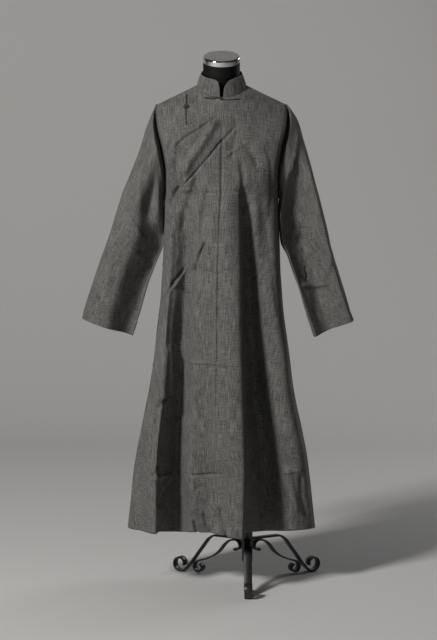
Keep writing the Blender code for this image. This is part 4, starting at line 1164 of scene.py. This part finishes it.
standCut = {
    "poleRadius": 0.0125, "hubRadius": 0.017, "hubBottomZ": 0.06, "hubTopZ": 0.178,
    "screwZ": 0.1645, "screwReach": 0.044, "screwRadius": 0.0035, "gripRadius": 0.0075, "gripLength": 0.016,
    "strapWidth": 0.025, "strapThickness": 0.005, "strapEdge": 0.0009,
    "legAngles": {"front": -90, "right": 150, "left": 30},
    # distance from the pole's axis, height
    "legRun": ((0.015, 0.133), (0.07, 0.133), (0.116, 0.1325), (0.136, 0.123), (0.166, 0.086),
               (0.206, 0.032)),
    "braceRun": ((0.065, 0.1215), (0.08, 0.108), (0.103, 0.08), (0.13, 0.061), (0.16, 0.0485)),
    # scrolls: centre's distance and height, first and last angle, first and last radius
    "legScroll": (0.246, 0.0275, -130, 200, 0.0265, 0.015),
    "braceCurl": (0.04, 0.1057, 300, 90, 0.01, 0.022),
    "braceRoll": (0.176, 0.0226, 75, -250, 0.02, 0.011),
}


def spiral(away, height, start, end, first, last):
    # an arc whose radius changes evenly
    turn = np.radians(np.linspace(start, end, 70))
    radius = np.linspace(first, last, 70)
    return np.stack([away + radius * np.cos(turn), height + radius * np.sin(turn)], axis=-1)


def evenRoute(route, step=0.003):
    # the same line with points an even step apart
    run = runAlong(route)
    at = np.linspace(0, run[-1], int(run[-1] / step))
    return np.stack([np.interp(at, run, route[:, k]) for k in range(2)], axis=-1)


def addStrap(name, node, route, angle):
    # a flat bar with rounded edges carried along a route of distances and heights
    route = evenRoute(route)
    soft = np.array([0.25, 0.5, 0.25])
    for _ in range(3):
        inner = np.stack([np.convolve(route[:, k], soft, "valid") for k in range(2)], -1)
        route = np.vstack([route[:1], inner, route[-1:]])
    ahead = unit(np.gradient(route, axis=0))
    square = np.stack([-ahead[:, 1], ahead[:, 0]], axis=-1)
    halfT, halfW, edge = standCut["strapThickness"] / 2, standCut["strapWidth"] / 2, standCut["strapEdge"]
    # three points round each corner, in order from the angle -pi
    corner = np.radians(np.arange(15.0, 360.0, 30.0))
    cosine, sine = np.cos(corner), np.sin(corner)
    section = np.stack([np.sign(cosine) * (halfT - edge) + edge * cosine,
                        np.sign(sine) * (halfW - edge) + edge * sine], -1)
    section = section[np.argsort(np.arctan2(section[:, 0] / halfT, section[:, 1] / halfW))]
    reach = np.array([math.cos(angle), math.sin(angle)])
    sideway = np.array([-reach[1], reach[0]])
    flat = route[:, None] + square[:, None] * section[None, :, :1]
    height = np.maximum(flat[..., 1], 0.0)
    x = poleOffset + flat[..., 0] * reach[0] + section[None, :, 1] * sideway[0]
    y = flat[..., 0] * reach[1] + section[None, :, 1] * sideway[1]
    piece = tubePiece(name, np.stack([x, y, height], axis=-1), 0.06, iron, 40)
    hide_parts(node)


def addTurned(name, node, profile, axis="z"):
    # a profile of radius and height turned about the pole, or about a level line along x
    profile = np.array(profile)
    turn = np.linspace(0, 2 * math.pi, 64, endpoint=False)
    r, h = profile[:, 0, None], profile[:, 1, None]
    a, b, c = r * np.cos(turn), r * np.sin(turn), h + 0 * turn
    if axis == "z":
        rings = np.stack([poleOffset + a, b, c], axis=-1)
    else:
        rings = np.stack([poleOffset + c, a, standCut["screwZ"] + b], axis=-1)
    piece = tubePiece(name, rings, 0.1, iron, 35)
    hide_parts(node)


def addStand():
    pole, hub = standCut["poleRadius"], standCut["hubRadius"]
    low, high = standCut["hubBottomZ"], standCut["hubTopZ"]
    form = formCut["rings"][0][0]
    addTurned("pole", "pole", ((pole, high - 0.004), (pole, form - 0.012), (pole + 0.008, form - 0.012),
                               (pole + 0.022, form - 0.004), (pole + 0.022, form + 0.001)))
    addTurned("hub", "hub", (
        (hub - 0.003, low), (hub - 0.0006, low + 0.0012), (hub, low + 0.003), (hub, high - 0.01),
        (hub - 0.0002, high - 0.0024), (hub - 0.001, high - 0.0006), (hub - 0.003, high)))
    reach, grip, stem = standCut["screwReach"], standCut["gripRadius"], standCut["screwRadius"]
    neck = reach - standCut["gripLength"]
    addTurned("heightScrew", "height_screw", (
        (stem, hub - 0.002), (stem, neck), (grip - 0.001, neck + 0.0006), (grip, neck + 0.002),
        (grip, reach - 0.002), (grip - 0.001, reach - 0.0004), (grip - 0.003, reach)), axis="x")
    legRun = through(standCut["legRun"], np.linspace(0, len(standCut["legRun"]) - 1, 60))
    legRoute = np.vstack([legRun, spiral(*standCut["legScroll"])])
    braceRun = through(standCut["braceRun"], np.linspace(0, len(standCut["braceRun"]) - 1, 50))
    braceRoute = np.vstack([spiral(*standCut["braceCurl"]), braceRun, spiral(*standCut["braceRoll"])])
    for name, degrees in standCut["legAngles"].items():
        addStrap("leg" + name.title(), "leg_" + name, legRoute, math.radians(degrees))
        addStrap("brace" + name.title(), "brace_" + name, braceRoute, math.radians(degrees))


addStand()
print("stand made")


studio = {
    "cameraPlace": (-0.0094, -6.0, 1.45), "cameraTarget": (-0.0094, 0.0, 0.834), "lens": 107.7,
    "floor": (0.56, 0.555, 0.55, 1),
    # place, size, power, colour
    "lights": {
        "keyLight": ((-3.2, -3.55, 3.7), 0.9, 305, (1.0, 0.98, 0.95)),
        "fillLight": ((0.6, -5.2, 1.9), 2.2, 6, (0.96, 0.98, 1.0)),
        "rimLight": ((2.6, 2.4, 2.6), 1.4, 30, (1.0, 1.0, 1.0)),
    },
    "world": 0.02, "wall": {"start": -9.0, "bend": 2.6, "radius": 1.4, "top": 6.0, "half": 8.0},
}


def addStudio():
    # floor that bends up into a wall behind the robe
    bend = np.linspace(0, math.pi / 2, 24)
    wall = studio["wall"]
    radius = wall["radius"]
    turned = np.stack([wall["bend"] + radius * np.sin(bend), radius - radius * np.cos(bend)], -1)
    profile = np.vstack([[wall["start"], 0.0], turned, [wall["bend"] + radius, wall["top"]]])
    points = np.array([(x, y, z) for y, z in profile for x in (-wall["half"], wall["half"])])
    quads = [(2 * k, 2 * k + 1, 2 * k + 3, 2 * k + 2) for k in range(len(profile) - 1)]
    mesh = bpy.data.meshes.new("studioFloor")
    mesh.from_pydata(points.tolist(), [], quads)
    mesh.shade_smooth()
    material, tree, shader = newMaterial("palePaper")
    setInputs(tree, shader, Base_Color=studio["floor"], Roughness=0.85)
    # the wall is clear from behind, so that the back of the robe can be seen
    mix = tree.nodes.new("ShaderNodeMixShader")
    parts = (
        tree.nodes.new("ShaderNodeNewGeometry").outputs["Backfacing"], shader.outputs[0],
        tree.nodes.new("ShaderNodeBsdfTransparent").outputs[0],
    )
    for socket, value in zip(mix.inputs, parts):
        plug(tree, socket, value)
    plug(tree, tree.nodes["Material Output"].inputs["Surface"], mix.outputs[0])
    mesh.materials.append(material)
    floor = bpy.data.objects.new("studioFloor", mesh)
    bpy.context.collection.objects.link(floor)
    for name, (place, size, power, colour) in studio["lights"].items():
        lamp = bpy.data.lights.new(name, "AREA")
        lamp.size = size
        lamp.energy = power
        lamp.color = colour
        holder = bpy.data.objects.new(name, lamp)
        holder.location = place
        holder.rotation_euler = (Vector((0, 0, 0.95)) - Vector(place)).to_track_quat("-Z", "Y").to_euler()
        bpy.context.collection.objects.link(holder)
    world = bpy.data.worlds.new("studioAir")
    world.use_nodes = True
    world.node_tree.nodes["Background"].inputs["Color"].default_value = (0.9, 0.93, 1.0, 1)
    world.node_tree.nodes["Background"].inputs["Strength"].default_value = studio["world"]
    bpy.context.scene.world = world
    bpy.context.scene.view_settings.view_transform = "Standard"
    bpy.context.scene.view_settings.look = "None"
    lens = bpy.data.cameras.new("camera")
    lens.lens = studio["lens"]
    lens.sensor_width = 36
    camera = bpy.data.objects.new("camera", lens)
    place = Vector(studio["cameraPlace"]) + Vector(axisShift)
    target = Vector(studio["cameraTarget"]) + Vector(axisShift)
    camera.location = place
    camera.rotation_euler = (target - place).to_track_quat("-Z", "Y").to_euler()
    bpy.context.collection.objects.link(camera)
    bpy.context.scene.camera = camera


addStudio()
print("studio made")
